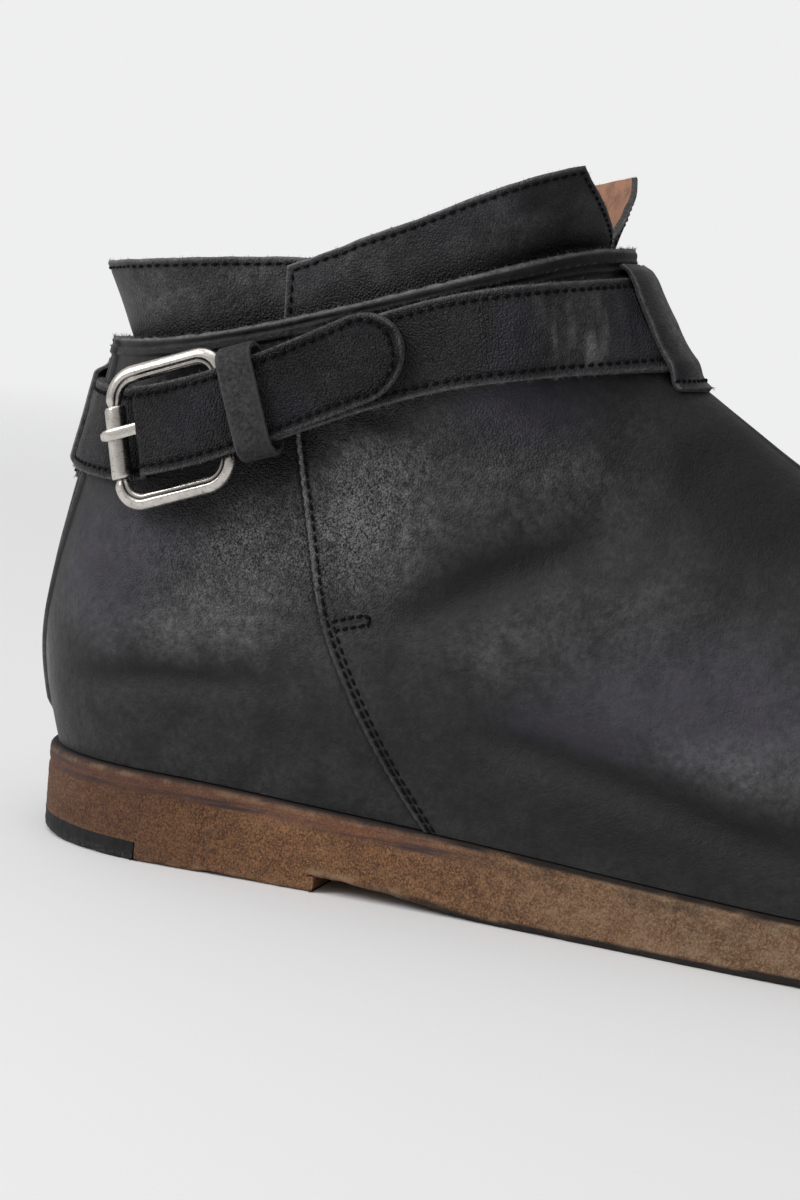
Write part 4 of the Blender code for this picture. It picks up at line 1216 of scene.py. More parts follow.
def collar_flap(name, node, columns, tops, leans, insets, seed, lightened):
    """One flap with its raw edge and its stitched groove; its seam and edges join the lists."""
    outer, inner = collar_grid(columns, tops, leans, insets, seed)
    normals = facing(outer, wrap=False)
    first, last, top = edge_gaps(outer)
    free = np.arange(len(outer))[:, None] >= tuck_rows
    near = np.minimum(np.minimum(first, last), np.where(free, top, FAR))
    outer = outer - (0.45 * np.clip(1 - near / 0.5, 0, 1) ** 2)[..., None] * normals
    outer = outer - (0.2 * bell(near - COLLAR_SEW, 0.4))[..., None] * normals
    rise = outer[..., 2] - outer[tuck_rows, :, 2]
    paints = {
        "bloom_and_light": np.clip(lightened + 0.5 * rough(outer, 13, seed + 3) + 0.25 * rough(outer, 4, seed + 5), 0, 1),
        "violet": np.clip(rough(outer, 20, seed + 4), 0, 0.8),
        # Painted shade at the flap's foot, where it rises from the topline, and in its stitch groove
        "shade": np.clip(0.8 * bell(rise, 3.5) + 0.6 * bell(near - COLLAR_SEW, 0.5), 0, 0.85),
        "grain": np.full(near.shape, 0.45),
        "cut": 0.7 * bell(near, 0.4),
    }
    made = walled(name, outer, inner, False, [COLLAR_LEATHER, LINING, RAW_EDGE], paints, edge_finish=2)
    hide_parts(node)
    collar_rows.append(stitches(*sewn_edge(outer, normals, tuck_rows)))
    upwards = np.tile(UP, (outer.shape[1], 1))
    collar_edges.append((outer[-1], upwards, 1.6, 0.8))
    for column, beyond in ((0, 1), (-1, -2)):
        side_edge = outer[tuck_rows:, column]
        collar_edges.append((side_edge, side_edge - outer[tuck_rows:, beyond], 1.6, 0.8))


swing = (1 - np.cos(np.linspace(0, np.pi, REAR_STEPS))) / 2
rear_columns = []
for side, order in (("inner", swing[:0:-1]), ("outer", swing)):
    end = share_at_x(TOPLINE[side], REAR_COLLAR["x"][-1])
    rear_columns += [(side, end * part) for part in order]
rear_x = [at(TOPLINE[side], share * run_of(TOPLINE[side])[-1])[0] for side, share in rear_columns]
rear_sizes = [straight(REAR_COLLAR, column, rear_x) for column in ("top", "lean", "inset")]
collar_flap("rear_collar_flap", "rear_collar", rear_columns, *rear_sizes, 41, 0.5)

front_part = 1 - np.cos(np.linspace(0, np.pi / 2, FRONT_STEPS))
front_x = FRONT_COLLAR["x"][0] + np.ptp(FRONT_COLLAR["x"]) * front_part
notch = np.sin(np.linspace(0, np.pi / 2, NOTCH_STEPS))[1:]
for seed, (side, line) in zip((51, 61), TOPLINE.items()):
    shares = share_at_x(line, front_x)
    tops = straight(FRONT_COLLAR, side, front_x)
    leans = straight(FRONT_COLLAR, "lean", front_x)
    last = 1 - NOTCH_CLEAR / run_of(line)[-1]
    shares = np.append(shares, shares[-1] + notch * (last - shares[-1]))
    tops = np.append(tops, tops[-1] + notch**0.85 * (NOTCH_TOP - tops[-1]))
    leans = np.append(leans, leans[-1] * (1 - notch))
    order = slice(None) if side == "outer" else slice(None, None, -1)
    flap_columns = [(side, share) for share in shares[order]]
    sizes = tops[order], leans[order], np.full(len(shares), COLLAR_INSET)
    collar_flap(f"{side}_collar_flap", f"{side}_front_collar", flap_columns, *sizes, seed, 0.22)
sewing("collar_stitching", collar_rows)
fray("collar_fibres", collar_edges, 6)

# Ankle strap
# A two-ply strap is sewn along both edges. It starts at the buckle, goes round the ankle, comes up
# under the roller and runs back over itself through the keeper to its rounded tip.

STRAP_WIDTH = 18.3
STRAP_THICK = 1.8
STRAP = table(
    ("x", "z"),
    [(-4, 84.8), (12, 83.8), (22, 84.1), (34, 87.7), (46, 92.6), (70, 103.2), (94, 111.2), (126, 116.0)],
)
STRAP_RUN = table(
    ("x", "lift"),
    [(-4, 0.8), (12, 0.6), (45, 0.6), (60, 1.0), (84, 1.1), (100, 0.9), (130, 0.7)],
)
STRAP_START = table(
    ("x", "lift"),
    [(46, 1.8), (58, 1.8), (70, 1.3), (84, 1.1), (100, 0.9), (130, 0.7)],
)
FREE_END = table(
    ("x", "lift", "rise"),
    [
        (-4, 0.8, 0.0),
        (8, 0.6, 0.0),
        (17, 0.5, 0.0),
        (23.6, 0.5, 0.0),
        (25.2, 1.2, 0.0),
        (26.2, 3.6, 0.0),
        (27.2, 5.7, 0.0),
        (28.6, 6.3, 0.0),
        (33, 6.3, 0.0),
        (37, 6.1, 0.1),
        (46, 5.2, 0.3),
        (58, 4.2, 0.6),
        (70, 3.8, 1.3),
        (80, 3.7, 1.9),
    ],
)
STRAP_START_X = 47.0
STRAP_TIP_X = 79.0
STRAP_COLUMNS = (110, 150, 250)
TIP_COLUMNS = 40
TIP_NARROW = 0.03
TIP_SEW_STEPS = 24
STRAP_SQUARE = 0.75
STRAP_SEW = 1.8
STRAP_THREAD = 0.42
WRINKLE_X = 104.0
STRAP_HIGHLIGHT_X = 107.0
PRONG_HOLE_SHADE_X = 27.4
ROLLER_SHADE = (21.0, 27.0)
STRAP_ACROSS = np.array([0, 0.25, 0.55, 0.9, 1.3, 1.8, 2.3, 2.8, 3.6, 5, 7, 9.15])


def strap_lines():
    """Lower edge, middle and upper edge of the strap's path on the upper, for both sides."""
    lines = {}
    for side in SIDES:
        lines[side] = []
        for shift in (-STRAP_WIDTH / 2, 0, STRAP_WIDTH / 2):
            lines[side].append(girth(lambda x: level_at(x, along(STRAP, "z", x) + shift), side))
    return lines


STRAP_LINES = strap_lines()


def strap_grid(columns):
    """Points across the strap for (side, share) columns, each turned part of the way square to it."""
    grid = np.zeros((3, len(columns), 3))
    runs = {side: [run_of(line) for line in lines] for side, lines in STRAP_LINES.items()}
    for k, (side, share) in enumerate(columns):
        middle = STRAP_LINES[side][1]
        length = runs[side][1][-1]
        point, before, ahead = (at(middle, share * length + step) for step in (0, -1, 1))
        for row, line in enumerate(STRAP_LINES[side]):
            shares = runs[side][row] / runs[side][row][-1]
            near = np.abs(shares - share) < 0.2
            square = np.interp(0, (line[near] - point) @ (ahead - before), shares[near])
            turned_share = share + STRAP_SQUARE * (square - share)
            grid[row, k] = at(line, turned_share * runs[side][row][-1])
    return grid


def across_strap(faces, parts):
    """Rows across the strap, on the curve through its lower edge, middle and upper edge."""
    part = parts[:, None, None]
    low, middle, high = faces
    return low * part * (part - 1) / 2 + middle * (1 - part * part) + high * part * (part + 1) / 2


middles = {side: lines[1] for side, lines in STRAP_LINES.items()}
strap_from = share_at_x(middles["outer"], STRAP_START_X)
strap_turn = share_at_x(middles["outer"], STRAP_TIP_X - STRAP_WIDTH / 2)
strap_tip = share_at_x(middles["outer"], STRAP_TIP_X)
ahead, behind, free = STRAP_COLUMNS
strap_columns = [("outer", share) for share in np.linspace(strap_from, 1, ahead)]
strap_columns += [("inner", share) for share in np.linspace(1, 0, behind)[1:]]
strap_columns += [("outer", share) for share in np.linspace(0, strap_turn, free)[1:]]
tip_parts = np.sin(np.linspace(0, np.pi / 2, TIP_COLUMNS + 1))[1:]
strap_columns += [("outer", strap_turn + part * (strap_tip - strap_turn)) for part in tip_parts]
strap_path = strap_grid(strap_columns)
strap_x = strap_path[1, :, 0]
strap_lift = along(STRAP_RUN, "lift", strap_x)
strap_lift[:ahead] = along(STRAP_START, "lift", strap_x[:ahead])
free_end = slice(ahead + behind - 1, None)
strap_lift[free_end] = along(FREE_END, "lift", strap_x[free_end])
strap_up = unit(strap_path[2] - strap_path[0])
strap_path[:, free_end] += along(FREE_END, "rise", strap_x[free_end])[:, None] * strap_up[free_end]
for k, part in enumerate(tip_parts):
    narrow = max(np.sqrt(1 - part**2), TIP_NARROW)
    column = strap_path[:, len(strap_columns) - TIP_COLUMNS + k]
    column[[0, 2]] = column[1] + narrow * (column[[0, 2]] - column[1])
strap_normals = facing(strap_path, wrap=False)
hollow = np.sum(((strap_path[0] + strap_path[2]) / 2 - strap_path[1]) * strap_normals[1], axis=-1)
strap_lifts = np.stack([strap_lift, strap_lift + np.maximum(hollow, 0), strap_lift])
strap_under = strap_path + strap_lifts[..., None] * strap_normals
strap_over = strap_under + STRAP_THICK * strap_normals
parts = np.concatenate([STRAP_ACROSS, STRAP_WIDTH - STRAP_ACROSS[-2::-1]]) / STRAP_WIDTH * 2 - 1
strap_outer = across_strap(strap_over, parts)
strap_inner = across_strap(strap_under, parts)
strap_out = facing(strap_outer, wrap=False)

strap_wide = np.linalg.norm(strap_path[2] - strap_path[0], axis=-1)
edge_gap = (1 - np.abs(parts))[:, None] * strap_wide / 2
tip_gap = np.full(len(strap_columns), FAR)
tip_gap[-TIP_COLUMNS:] = (1 - tip_parts) * STRAP_WIDTH / 2
edge_gap = np.minimum(edge_gap, tip_gap)
strap_distance = run_of(strap_over[1])
on_run = np.arange(len(strap_columns)) < ahead + behind
front_wrinkle = bell(strap_x - WRINKLE_X, 14) * on_run
flat_place = np.stack(np.broadcast_arrays(strap_distance, 2.2 * parts[:, None], 0.0), axis=-1)
ripple = rough(flat_place, 2.6, 75) + 0.6 * rough(flat_place, 1.3, 76)
ripple = 0.46 * ripple * (0.15 + front_wrinkle) * (1 - parts[:, None] ** 2)
# Painted shade where the prong goes into the strap, in place of a hole
prong_hole_shade = bell(strap_x - PRONG_HOLE_SHADE_X, 0.8) * ~on_run * bell(parts[:, None] * STRAP_WIDTH / 2 - 0.6, 1.5)
dents = 0.26 * rough(strap_outer, 9, 71) + 0.1 * rough(strap_outer, 2.5, 72)
strap_rise = ripple + dents * eased(edge_gap / 3) - 0.3 * np.clip(1 - edge_gap / 0.5, 0, 1) ** 2
strap_rise = strap_rise - 0.22 * bell(edge_gap - STRAP_SEW, 0.42)
strap_outer = strap_outer + strap_rise[..., None] * strap_out

STRAP_LEATHER = waxed_leather("strap_leather", (0.0035, 0.0035, 0.0038), (0.066, 0.066, 0.067), 0.85, 0.28)
# Random wax bloom, with a painted highlight near the front of the strap
strap_bloom_and_highlight = 0.15 + 0.5 * rough(strap_outer, 12, 73) + 1.3 * bell(strap_x - STRAP_HIGHLIGHT_X, 6) * on_run
shade_from, shade_to = ROLLER_SHADE
# Painted shade where the strap dives under the roller
behind_roller = eased(shade_to - strap_x) * eased((strap_x - shade_from) / 1.5) * ~on_run
# A painted highlight on the wrinkle crests near the front, laid into the pale edge paint
strap_shine = 0.9 * eased(ripple / 0.3) * bell(strap_x - STRAP_HIGHLIGHT_X, 5) * on_run
strap_paints = {
    "bloom_and_light": np.clip(strap_bloom_and_highlight + 0.2 * ~on_run, 0, 1.5),
    "violet": np.clip(1.2 * rough(strap_outer, 16, 74), 0, 0.8),
    "shade": np.clip(behind_roller + prong_hole_shade + 0.4 * bell(edge_gap - STRAP_SEW, 0.6), 0, 0.97),
    "grain": np.ones_like(strap_rise) * np.where(on_run, 0.35, 1.0),
    "cut": np.maximum(0.8 * bell(edge_gap, 0.45), strap_shine),
}
strap_finishes = [STRAP_LEATHER, RAW_EDGE, RAW_EDGE]
strap = walled("ankle_strap", strap_outer, strap_inner, False, strap_finishes, strap_paints, 2)
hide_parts("strap")

low_row = int(np.argmin(abs(STRAP_ACROSS - STRAP_SEW)))
strap_rows = []
for row in (low_row, -1 - low_row):
    sewn = slice(0, ahead + behind)
    strap_rows.append(stitches(strap_outer[row, sewn], strap_out[row, sewn], thick=STRAP_THREAD))
last_run = slice(ahead + behind, len(strap_columns) - TIP_COLUMNS)
tip_line = []
tip_normals = []
for turn in np.linspace(-np.pi / 2, np.pi / 2, TIP_SEW_STEPS):
    reach = STRAP_WIDTH / 2 - STRAP_SEW
    want = reach * np.cos(turn) / (STRAP_WIDTH / 2)
    k = int(np.argmin(abs(tip_parts - want))) + len(strap_columns) - TIP_COLUMNS
    height = reach * np.sin(turn)
    row = int(np.argmin(abs(parts * strap_wide[k] / 2 - height)))
    tip_line.append(strap_outer[row, k])
    tip_normals.append(strap_out[row, k])
lower = strap_outer[low_row, last_run]
upper_line = strap_outer[-1 - low_row, last_run][::-1]
round_tip = np.concatenate([lower, tip_line, upper_line])
round_normals = [strap_out[low_row, last_run], tip_normals, strap_out[-1 - low_row, last_run][::-1]]
strap_rows.append(stitches(round_tip, np.concatenate(round_normals), thick=STRAP_THREAD))
sewing("strap_stitching", strap_rows)

strap_edges = []
for row, sign in ((0, -1), (len(parts) - 1, 1)):
    for stretch, density in ((slice(0, ahead), 7.0), (slice(ahead, ahead + behind), 2.0), (free_end, 3.0)):
        way = 0.8 * sign * strap_up[stretch] + 0.6 * strap_out[row, stretch]
        strap_edges.append((strap_outer[row, stretch], way, density, 1.0))
fray("strap_fibres", strap_edges, 7)

# Strap loops
# A tab of waxed leather at the front and one at the back hold the strap in its place. Each is fixed
# above the strap, lies over it and is sewn down to the upper below it, with a raw lower edge.

LOOP_THICK = 1.1
FRONT_LOOP_WIDTH = 19.0
FRONT_LOOP = table(
    ("z", "lift"),
    [(103.0, 0.7), (104.4, 0.8), (106.0, 2.7), (114.0, 3.7), (122.8, 3.2), (125.4, 2.3), (126.4, 0.7)],
)
BACK_LOOP_WIDTH = 15.0
BACK_LOOP = table(
    ("z", "lift"),
    [(72.2, 0.7), (73.8, 0.7), (75.0, 3.1), (84.8, 3.1), (94.4, 3.1), (95.8, 0.7), (97.4, 0.7)],
)
LOOP_ROWS = 64
LOOP_COLUMNS = 33
LOOP_SEW = 1.2
LOOP_PITCH = 1.5


def loop_tab(name, node, shape, wide, front, seed):
    """A tab over the strap at the front or the back; returns its row of stitches."""
    heights = np.linspace(shape["z"][0], shape["z"][-1], LOOP_ROWS)
    half = np.linspace(0, 1, LOOP_COLUMNS // 2 + 1)
    grid = []
    for z in heights:
        points = []
        sides = ("outer", "inner") if front else ("inner", "outer")
        for side, parts in zip(sides, (half[::-1], half[1:])):
            line = girth(lambda x: level_at(x, z), side)
            reach = parts * (wide / 2 + bell(z - heights[0], 1.8))
            reach = run_of(line)[-1] - reach if front else reach
            points.extend(at(line, reach))
        grid.append(points)
    grid = np.array(grid)
    normals = facing(grid, wrap=False)
    soft = np.convolve(np.pad(straight(shape, "lift", heights), 2, "edge"), np.ones(5) / 5, "valid")
    inner = grid + soft[:, None, None] * normals
    outer = inner + LOOP_THICK * normals
    first, last, _ = edge_gaps(outer)
    near = np.minimum(first, last)
    swell = 0.12 * rough(outer, 7, seed) - 0.4 * np.clip(1 - near / 0.6, 0, 1) ** 2
    outer = outer + swell[..., None] * normals
    paints = {
        # Lighter towards the middle: painted light where the tab curves towards the light, with random wax
        # bloom
        "bloom_and_light": np.clip(eased(near / (0.5 * wide)) ** 2 + 0.2 * rough(outer, 9, seed + 1), 0, 1.5),
        "violet": np.clip(rough(outer, 14, seed + 2), 0, 0.7),
        "grain": np.full(near.shape, 0.3),
        "shade": np.zeros(near.shape),
        "cut": 0.8 * bell(near, 0.45),
    }
    made = walled(name, outer, inner, False, [COLLAR_LEATHER, RAW_EDGE, RAW_EDGE], paints, 2)
    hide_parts(node)
    loop_edges.append((outer[0], normals[0] - UP, 4.0, 1.2))
    sewn = int(np.argmin(abs(heights - shape["z"][0] - LOOP_SEW)))
    return stitches(outer[sewn], normals[sewn], pitch=LOOP_PITCH, thick=0.4)


loop_edges = []
loop_rows = [
    loop_tab("front_strap_loop", "front_loop", FRONT_LOOP, FRONT_LOOP_WIDTH, True, 81),
    loop_tab("back_strap_loop", "back_loop", BACK_LOOP, BACK_LOOP_WIDTH, False, 91),
]
sewing("loop_stitching", loop_rows)
fray("loop_fibres", loop_edges, 8)

# Keeper
# A narrow band of the same hide, rough side out, is folded round the strap beside the buckle and
# closed behind it. It holds the strap's free end down and slides along it.

KEEPER_X = 48.3
KEEPER_LENGTH = 7.3
KEEPER_TILT = np.radians(5)
KEEPER_THICK = 1.1
KEEPER_UNDER = 1.45
KEEPER_OVER = 7.7
KEEPER_BELOW = -9.8
KEEPER_ABOVE = 10.6
KEEPER_ROUND = 2.6
KEEPER_RINGS = 17
CORNER_STEPS = 8
SIDE_STEPS = 20


def strap_frame(x):
    """A point on the outer side of the strap's path with its forward, upward and outward axes."""
    lines = STRAP_LINES["outer"]
    share = share_at_x(lines[1], x)
    point, ahead = (at(lines[1], (share + step) * run_of(lines[1])[-1]) for step in (0, 0.01))
    low, high = (at(lines[row], share * run_of(lines[row])[-1]) for row in (0, 2))
    forward = unit(ahead - point)
    upward = unit(high - low)
    upward = unit(upward - forward * (upward @ forward))
    return point, forward, upward, np.cross(forward, upward)


def turned(forward, upward, angle):
    """Two axes turned in their own plane, forward towards upward."""
    return (
        np.cos(angle) * forward + np.sin(angle) * upward,
        np.cos(angle) * upward - np.sin(angle) * forward,
    )


def rounded_box(low, high, radius, steps, between):
    """Points round a box with round corners, anticlockwise, with points along its straight sides."""
    centres = [
        (high[0] - radius, low[1] + radius),
        (high[0] - radius, high[1] - radius),
        (low[0] + radius, high[1] - radius),
        (low[0] + radius, low[1] + radius),
    ]
    corners = []
    for quarter, centre in enumerate(centres):
        turns = np.linspace(quarter - 1, quarter, steps) * np.pi / 2
        corners.append(centre + radius * np.stack([np.cos(turns), np.sin(turns)], axis=-1))
    points = []
    for k, corner in enumerate(corners):
        following = corners[(k + 1) % 4][0]
        share = np.linspace(0, 1, between + 2)[1:-1, None]
        points += [corner, corner[-1] + share * (following - corner[-1])]
    return np.concatenate(points)


def rough_leather():
    """Leather with its napped side out, grey where its edges are cut."""
    finish = Finish("keeper_leather")
    nap = finish.noise(1300, 6, 0.75)
    cloud = finish.noise(160, 4)
    colour = finish.mix(finish.span(nap, 0.3, 0.7), (0.002, 0.002, 0.0022), (0.075, 0.075, 0.076))
    colour = finish.mix(finish.span(cloud, 0.4, 0.7, 0, 0.5), colour, (0.014, 0.014, 0.0145))
    colour = finish.mix(finish.painted("cut"), colour, (0.09, 0.088, 0.086))
    normal = finish.bump(nap, 0.35)
    return finish.wear(Base_Color=colour, Roughness=0.85, Normal=normal, Specular_IOR_Level=0.3)


point, forward, upward, outward = strap_frame(KEEPER_X)
forward, upward = turned(forward, upward, -KEEPER_TILT)
box_axes = np.stack([outward, upward])
keeper_low = np.array([KEEPER_UNDER, KEEPER_BELOW])
keeper_high = np.array([KEEPER_OVER, KEEPER_ABOVE])
bore_loop = rounded_box(keeper_low, keeper_high, KEEPER_ROUND, CORNER_STEPS, SIDE_STEPS)
skin_low = keeper_low - KEEPER_THICK
skin_high = keeper_high + KEEPER_THICK
skin_loop = rounded_box(skin_low, skin_high, KEEPER_ROUND + KEEPER_THICK, CORNER_STEPS, SIDE_STEPS)
keeper_ends = np.linspace(-0.5, 0.5, KEEPER_RINGS) * KEEPER_LENGTH
skin = np.stack([point + skin_loop @ box_axes + end * forward for end in keeper_ends])
bore = np.stack([point + bore_loop @ box_axes + end * forward for end in keeper_ends])
keeper_out = unit(skin - bore)
keeper_gap = (KEEPER_LENGTH / 2 - np.abs(keeper_ends))[:, None]
keeper_swell = 0.12 * rough(skin, 6, 101) - 0.35 * np.clip(1 - keeper_gap / 0.6, 0, 1) ** 2
skin = skin + keeper_swell[..., None] * keeper_out
keeper_paints = {"cut": 0.6 * bell(keeper_gap, 0.4) * np.ones(skin.shape[:2])}
keeper = walled("strap_keeper", skin, bore, True, [rough_leather(), RAW_EDGE, RAW_EDGE], keeper_paints, 2)
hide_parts("keeper")

# Buckle frame
# A frame cast in antique nickel holds the strap's start on its front bar, and its rear bar carries
# the roller. A dark groove, left from the casting, runs round its outer face.

BUCKLE_DROP = 1.2
BUCKLE_TURN = np.radians(4)
BUCKLE_LEAN = 0.12
ROLLER_BAR_X = 22.2
ROLLER_BAR_LIFT = 5.7
FRONT_BAR_X = 42.0
FRONT_BAR_LIFT = 2.8
BUCKLE_HEIGHT = 25.0
BUCKLE_CORNER = 4.6
BUCKLE_BAR = 3.4
BUCKLE_BAR_THICK = 2.8
BAR_CORE = 1.0
FRAME_SIDES = 44
FRAME_CORNER_STEPS = 15
FRAME_SIDE_STEPS = 14
GROOVE_TURN = 2.0
GROOVE_WIDTH = 0.2


def antique_nickel():
    """Nickel with a worn bright face, dark in its pits and grooves."""
    finish = Finish("antique_nickel")
    cloud = finish.noise(420, 5, 0.65)
    scratch = finish.noise((300, 300, 3200), 4, 0.7)
    pit = finish.span(finish.noise(1500, 3, 0.6), 0.56, 0.68)
    pit = finish.times(pit, finish.span(cloud, 0.42, 0.62))
    colour = finish.mix(finish.span(cloud, 0.3, 0.7), (0.7, 0.66, 0.62), (0.5, 0.47, 0.43))
    dark = finish.math("MAXIMUM", finish.times(pit, 0.7), finish.painted("groove"))
    colour = finish.mix(dark, colour, (0.025, 0.022, 0.02))
    gloss = finish.span(finish.plus(cloud, scratch), 0.6, 1.4, 0.18, 0.36)
    relief = finish.plus(finish.times(cloud, 0.7), finish.times(scratch, 0.3))
    return finish.wear(Base_Color=colour, Roughness=gloss, Metallic=1.0, Normal=finish.bump(relief, 0.05))


NICKEL = antique_nickel()
rear, _, rear_up, rear_out = strap_frame(ROLLER_BAR_X)
front, _, front_up, front_out = strap_frame(FRONT_BAR_X)
rear = rear + ROLLER_BAR_LIFT * rear_out - BUCKLE_DROP * rear_up
front = front + FRONT_BAR_LIFT * front_out - BUCKLE_DROP * front_up
buckle_length = np.linalg.norm(front - rear)
forward = unit(front - rear)
upward = unit(rear_up + front_up)
upward = unit(upward - forward * (upward @ forward))
forward, upward = turned(forward, upward, BUCKLE_TURN)
outward = np.cross(forward, upward)
bar = upward + BUCKLE_LEAN * forward
buckle_centre = (rear + front) / 2
rear = buckle_centre - buckle_length / 2 * forward
corner = np.array([buckle_length, BUCKLE_HEIGHT]) / 2

path = rounded_box(-corner, corner, BUCKLE_CORNER, FRAME_CORNER_STEPS, FRAME_SIDE_STEPS)
path_run = np.roll(path, -1, axis=0) - np.roll(path, 1, axis=0)
beside = unit(np.stack([path_run[:, 1], -path_run[:, 0]], axis=-1))
bar_share = eased((np.abs(path[:, 0]) - corner[0] + 1.2) / 1.2)
bar_share = bar_share * eased((corner[1] - BUCKLE_CORNER + 0.2 - np.abs(path[:, 1])) / 0.6)
wide = BUCKLE_BAR / 2 + (BAR_CORE - BUCKLE_BAR / 2) * bar_share
thick = BUCKLE_BAR_THICK / 2 + (BAR_CORE - BUCKLE_BAR_THICK / 2) * bar_share
sections = []
grooves = []
for turn in np.linspace(0, 2 * np.pi, FRAME_SIDES, endpoint=False):
    groove = bell(turn - GROOVE_TURN, GROOVE_WIDTH)
    flat = path + (wide * (1 - 0.16 * groove) * np.cos(turn))[:, None] * beside
    height = thick * np.sin(turn) * (1 - 0.26 * groove)
    sections.append(buckle_centre + flat @ np.stack([forward, bar]) + height[:, None] * outward)
    grooves.append(groove * (1 - bar_share))
sections = np.stack(sections, axis=1)
numbers = np.arange(sections.shape[0] * sections.shape[1]).reshape(sections.shape[:2])
ring_faces = [band(numbers[k], numbers[(k + 1) % len(numbers)], True) for k in range(len(numbers))]
ring_faces = np.concatenate(ring_faces)
frame_paints = {"groove": np.stack(grooves, axis=1)}
sections = sections.reshape(-1, 3)
buckle_frame = piece("buckle_frame_casting", sections, ring_faces, [NICKEL], paints=frame_paints)
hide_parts("buckle_frame")

# Buckle roller
# A short tube of the same nickel turns freely on the frame's rear bar. The strap comes up under it,
# and the prong rests on it.

ROLLER_BORE = 1.4
ROLLER_RADIUS = 2.1
ROLLER_LENGTH = 14.2
ROLLER_SIDES = 48

turns = np.linspace(0, 2 * np.pi, ROLLER_SIDES, endpoint=False)
circle = np.stack([np.cos(turns), np.sin(turns)], axis=-1) @ np.stack([outward, forward])
reach = np.array([-0.5, -0.485, -0.46, -0.3, 0, 0.3, 0.46, 0.485, 0.5])
radii = ROLLER_RADIUS - np.array([0.3, 0.1, 0, 0, 0, 0, 0, 0.1, 0.3])
tube = np.stack([rear + part * ROLLER_LENGTH * bar + size * circle for part, size in zip(reach, radii)])
bore = np.stack([rear + part * ROLLER_LENGTH * bar + ROLLER_BORE * circle for part in reach])
buckle_roller = walled("buckle_roller_tube", tube, bore, True, [NICKEL, NICKEL], {})
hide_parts("buckle_roller")

# Buckle prong
# A flat pin of the same nickel is bent round the frame's front bar in an eye. It goes through a hole
# in the strap and lies over the roller with its tip bent down.

PRONG_WIDTH = 2.4
PRONG_THICK = 1.0
PRONG_EYE = 1.9
PRONG_GAP = 0.3
PRONG_TIP = 2.3
PRONG_DROP = 0.6
PRONG_RAISE = 1.6
PRONG_SIDES = 20
EYE_STEPS = 25
SHANK_STEPS = 12
DROOP_STEPS = 6

over_roller = ROLLER_RADIUS + PRONG_GAP + PRONG_THICK / 2
eye_turns = np.radians(np.linspace(-150, 90, EYE_STEPS))
eye = [(corner[0] + PRONG_EYE * np.cos(turn), PRONG_EYE * np.sin(turn)) for turn in eye_turns]
shank = np.linspace(0, 1, SHANK_STEPS)[1:]
shank = [(corner[0] * (1 - 2 * part), PRONG_EYE + part * (over_roller - PRONG_EYE)) for part in shank]
droop = np.linspace(0, 1, DROOP_STEPS)[1:]
droop = [(-corner[0] - PRONG_TIP * part, over_roller - PRONG_DROP * part**2) for part in droop]
prong_line = np.array(eye + shank + droop)
prong_run = np.gradient(prong_line, axis=0)
prong_beside = unit(np.stack([-prong_run[:, 1], prong_run[:, 0]], axis=-1))
narrowing = np.ones(len(prong_line))
narrowing[-5:] = [1, 0.97, 0.92, 0.82, 0.62]
sections = []
for turn in np.linspace(0, 2 * np.pi, PRONG_SIDES, endpoint=False):
    round_side = np.sign(np.cos(turn)) * abs(np.cos(turn)) ** 0.6
    round_face = np.sign(np.sin(turn)) * abs(np.sin(turn)) ** 0.75
    flat = prong_line + round_face * PRONG_THICK / 2 * prong_beside
    middle = buckle_centre + flat @ np.stack([forward, outward]) + PRONG_RAISE * bar
    sections.append(middle + (round_side * narrowing * PRONG_WIDTH / 2)[:, None] * upward)
buckle_prong = slab("buckle_prong_pin", np.stack(sections, axis=1), [NICKEL])
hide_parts("buckle_prong")

# Studio
# The boot stands on a pale floor that fades into a white room. A large soft light hangs above it,
# and a smaller, brighter one stands to its left. The camera looks from the photo's side and height.

FLOOR_RADIUS = 2.5
FLOOR_SIDES = 96
FLOOR_FADE = (0.2, 1.5)


def pale_floor():
    """A pale matt floor that fades out away from the boot."""
    finish = Finish("pale_floor")
    finish.wear(Base_Color=(0.84, 0.84, 0.845), Roughness=0.9, Specular_IOR_Level=0.2)
    clear = finish.node("ShaderNodeBsdfTransparent").outputs[0]
    reach = finish.node("ShaderNodeVectorMath", {0: finish.place}, operation="LENGTH").outputs["Value"]
    share = finish.span(reach, *FLOOR_FADE)
    blend = finish.node("ShaderNodeMixShader", {0: share, 1: finish.shader.outputs[0], 2: clear})
    output = finish.tree.nodes["Material Output"]
    finish.tree.links.new(blend.outputs[0], output.inputs["Surface"])
    return finish.material


turns = np.linspace(0, 2 * np.pi, FLOOR_SIDES, endpoint=False)
floor_mesh = bpy.data.meshes.new("floor")
floor_points = [(FLOOR_RADIUS * np.cos(turn), FLOOR_RADIUS * np.sin(turn), 0) for turn in turns]
floor_mesh.from_pydata(floor_points, [], [list(range(len(turns)))])
floor_mesh.materials.append(pale_floor())
floor = bpy.data.objects.new("floor", floor_mesh)
bpy.context.scene.collection.objects.link(floor)


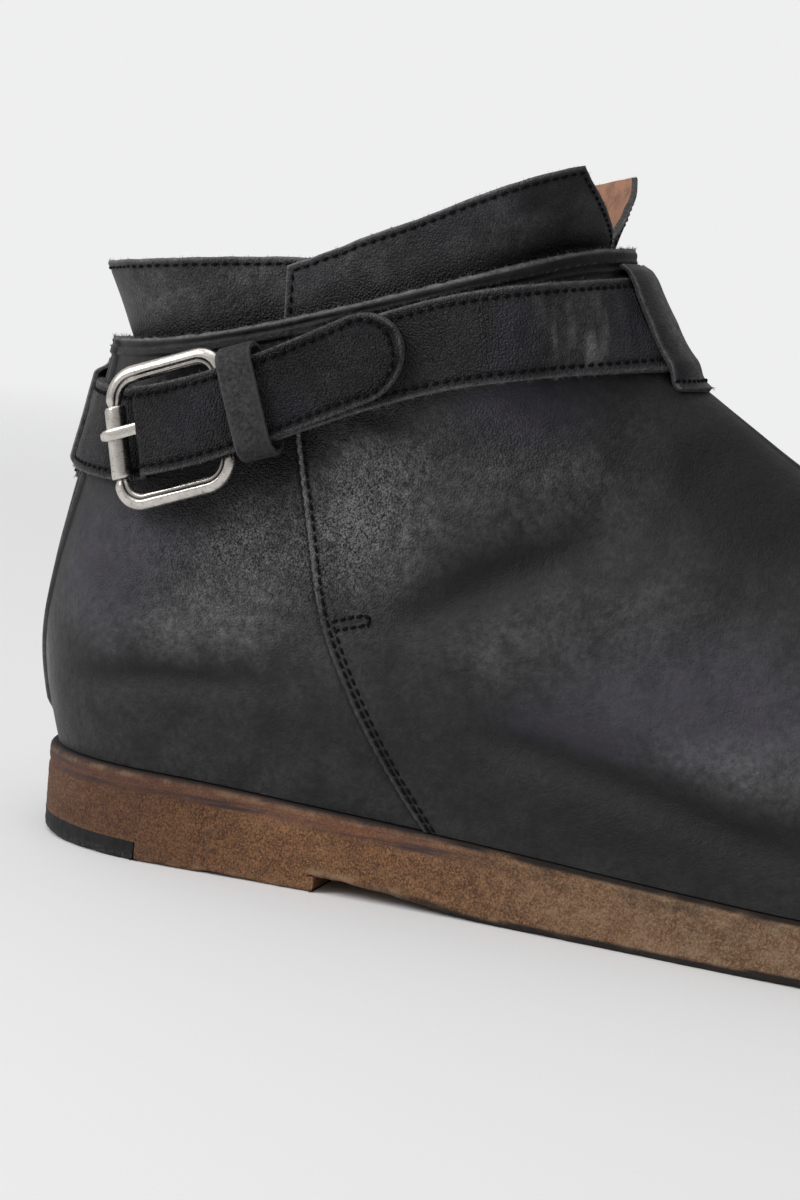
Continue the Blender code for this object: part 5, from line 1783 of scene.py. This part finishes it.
def white_room():
    """Pale backdrop; the light that falls from it is strongest from above and from the left."""
    room = bpy.data.worlds.new("white_room")
    room.use_nodes = True
    tree = room.node_tree
    seen = tree.nodes["Background"]
    seen.inputs["Color"].default_value = (0.86, 0.862, 0.865, 1)
    shed = tree.nodes.new("ShaderNodeBackground")
    place = tree.nodes.new("ShaderNodeTexCoord")
    slope = tree.nodes.new("ShaderNodeVectorMath")
    slope.operation = "DOT_PRODUCT"
    slope.inputs[1].default_value = (-0.5, -0.15, 0.7)
    spread = tree.nodes.new("ShaderNodeMapRange")
    for name, value in {"From Min": -0.6, "From Max": 1.0, "To Min": 0.1, "To Max": 1.0}.items():
        spread.inputs[name].default_value = value
    path = tree.nodes.new("ShaderNodeLightPath")
    blend = tree.nodes.new("ShaderNodeMixShader")
    tree.links.new(place.outputs["Generated"], slope.inputs[0])
    tree.links.new(slope.outputs["Value"], spread.inputs["Value"])
    tree.links.new(spread.outputs["Result"], shed.inputs["Strength"])
    tree.links.new(path.outputs["Is Camera Ray"], blend.inputs[0])
    tree.links.new(shed.outputs[0], blend.inputs[1])
    tree.links.new(seen.outputs[0], blend.inputs[2])
    tree.links.new(blend.outputs[0], tree.nodes["World Output"].inputs["Surface"])
    return room


bpy.context.scene.world = white_room()
bpy.context.scene.view_settings.view_transform = "Standard"


def soft_light(name, place, aim, size, power):
    """A square soft light that looks at a place."""
    light = bpy.data.lights.new(name, "AREA")
    light.size = size
    light.energy = power
    made = bpy.data.objects.new(name, light)
    made.location = place
    made.rotation_euler = (Vector(aim) - Vector(place)).to_track_quat("-Z", "Y").to_euler()
    bpy.context.scene.collection.objects.link(made)


soft_light("top_light", (-0.2, -0.3, 1.3), (0.06, 0, 0.05), 1.0, 4.0)
soft_light("left_light", (-0.9, -0.8, 0.8), (0.03, 0, 0.06), 0.6, 9.0)

YAW, PITCH, ROLL = np.radians([16.4, 7.1, 5.5])
EYE = np.array([0.1955, -0.5576, 0.1271])
FOCAL_PIXELS = 2862.7
PICTURE_HEIGHT = 1200
FILM = 36.0
look = np.array([-np.sin(YAW) * np.cos(PITCH), np.cos(YAW) * np.cos(PITCH), -np.sin(PITCH)])
level_right = np.array([np.cos(YAW), np.sin(YAW), 0])
level_down = np.cross(look, level_right)
right = np.cos(ROLL) * level_right - np.sin(ROLL) * level_down
down = np.sin(ROLL) * level_right + np.cos(ROLL) * level_down
view = bpy.data.cameras.new("photo_camera")
view.sensor_width = FILM
view.lens = FILM * FOCAL_PIXELS / PICTURE_HEIGHT
view.clip_start = 0.01
camera = bpy.data.objects.new("photo_camera", view)
stance = np.eye(4)
stance[:3] = np.stack([right, -down, -look, EYE], axis=1)
camera.matrix_world = Matrix(stance.tolist())
bpy.context.scene.collection.objects.link(camera)
bpy.context.scene.camera = camera
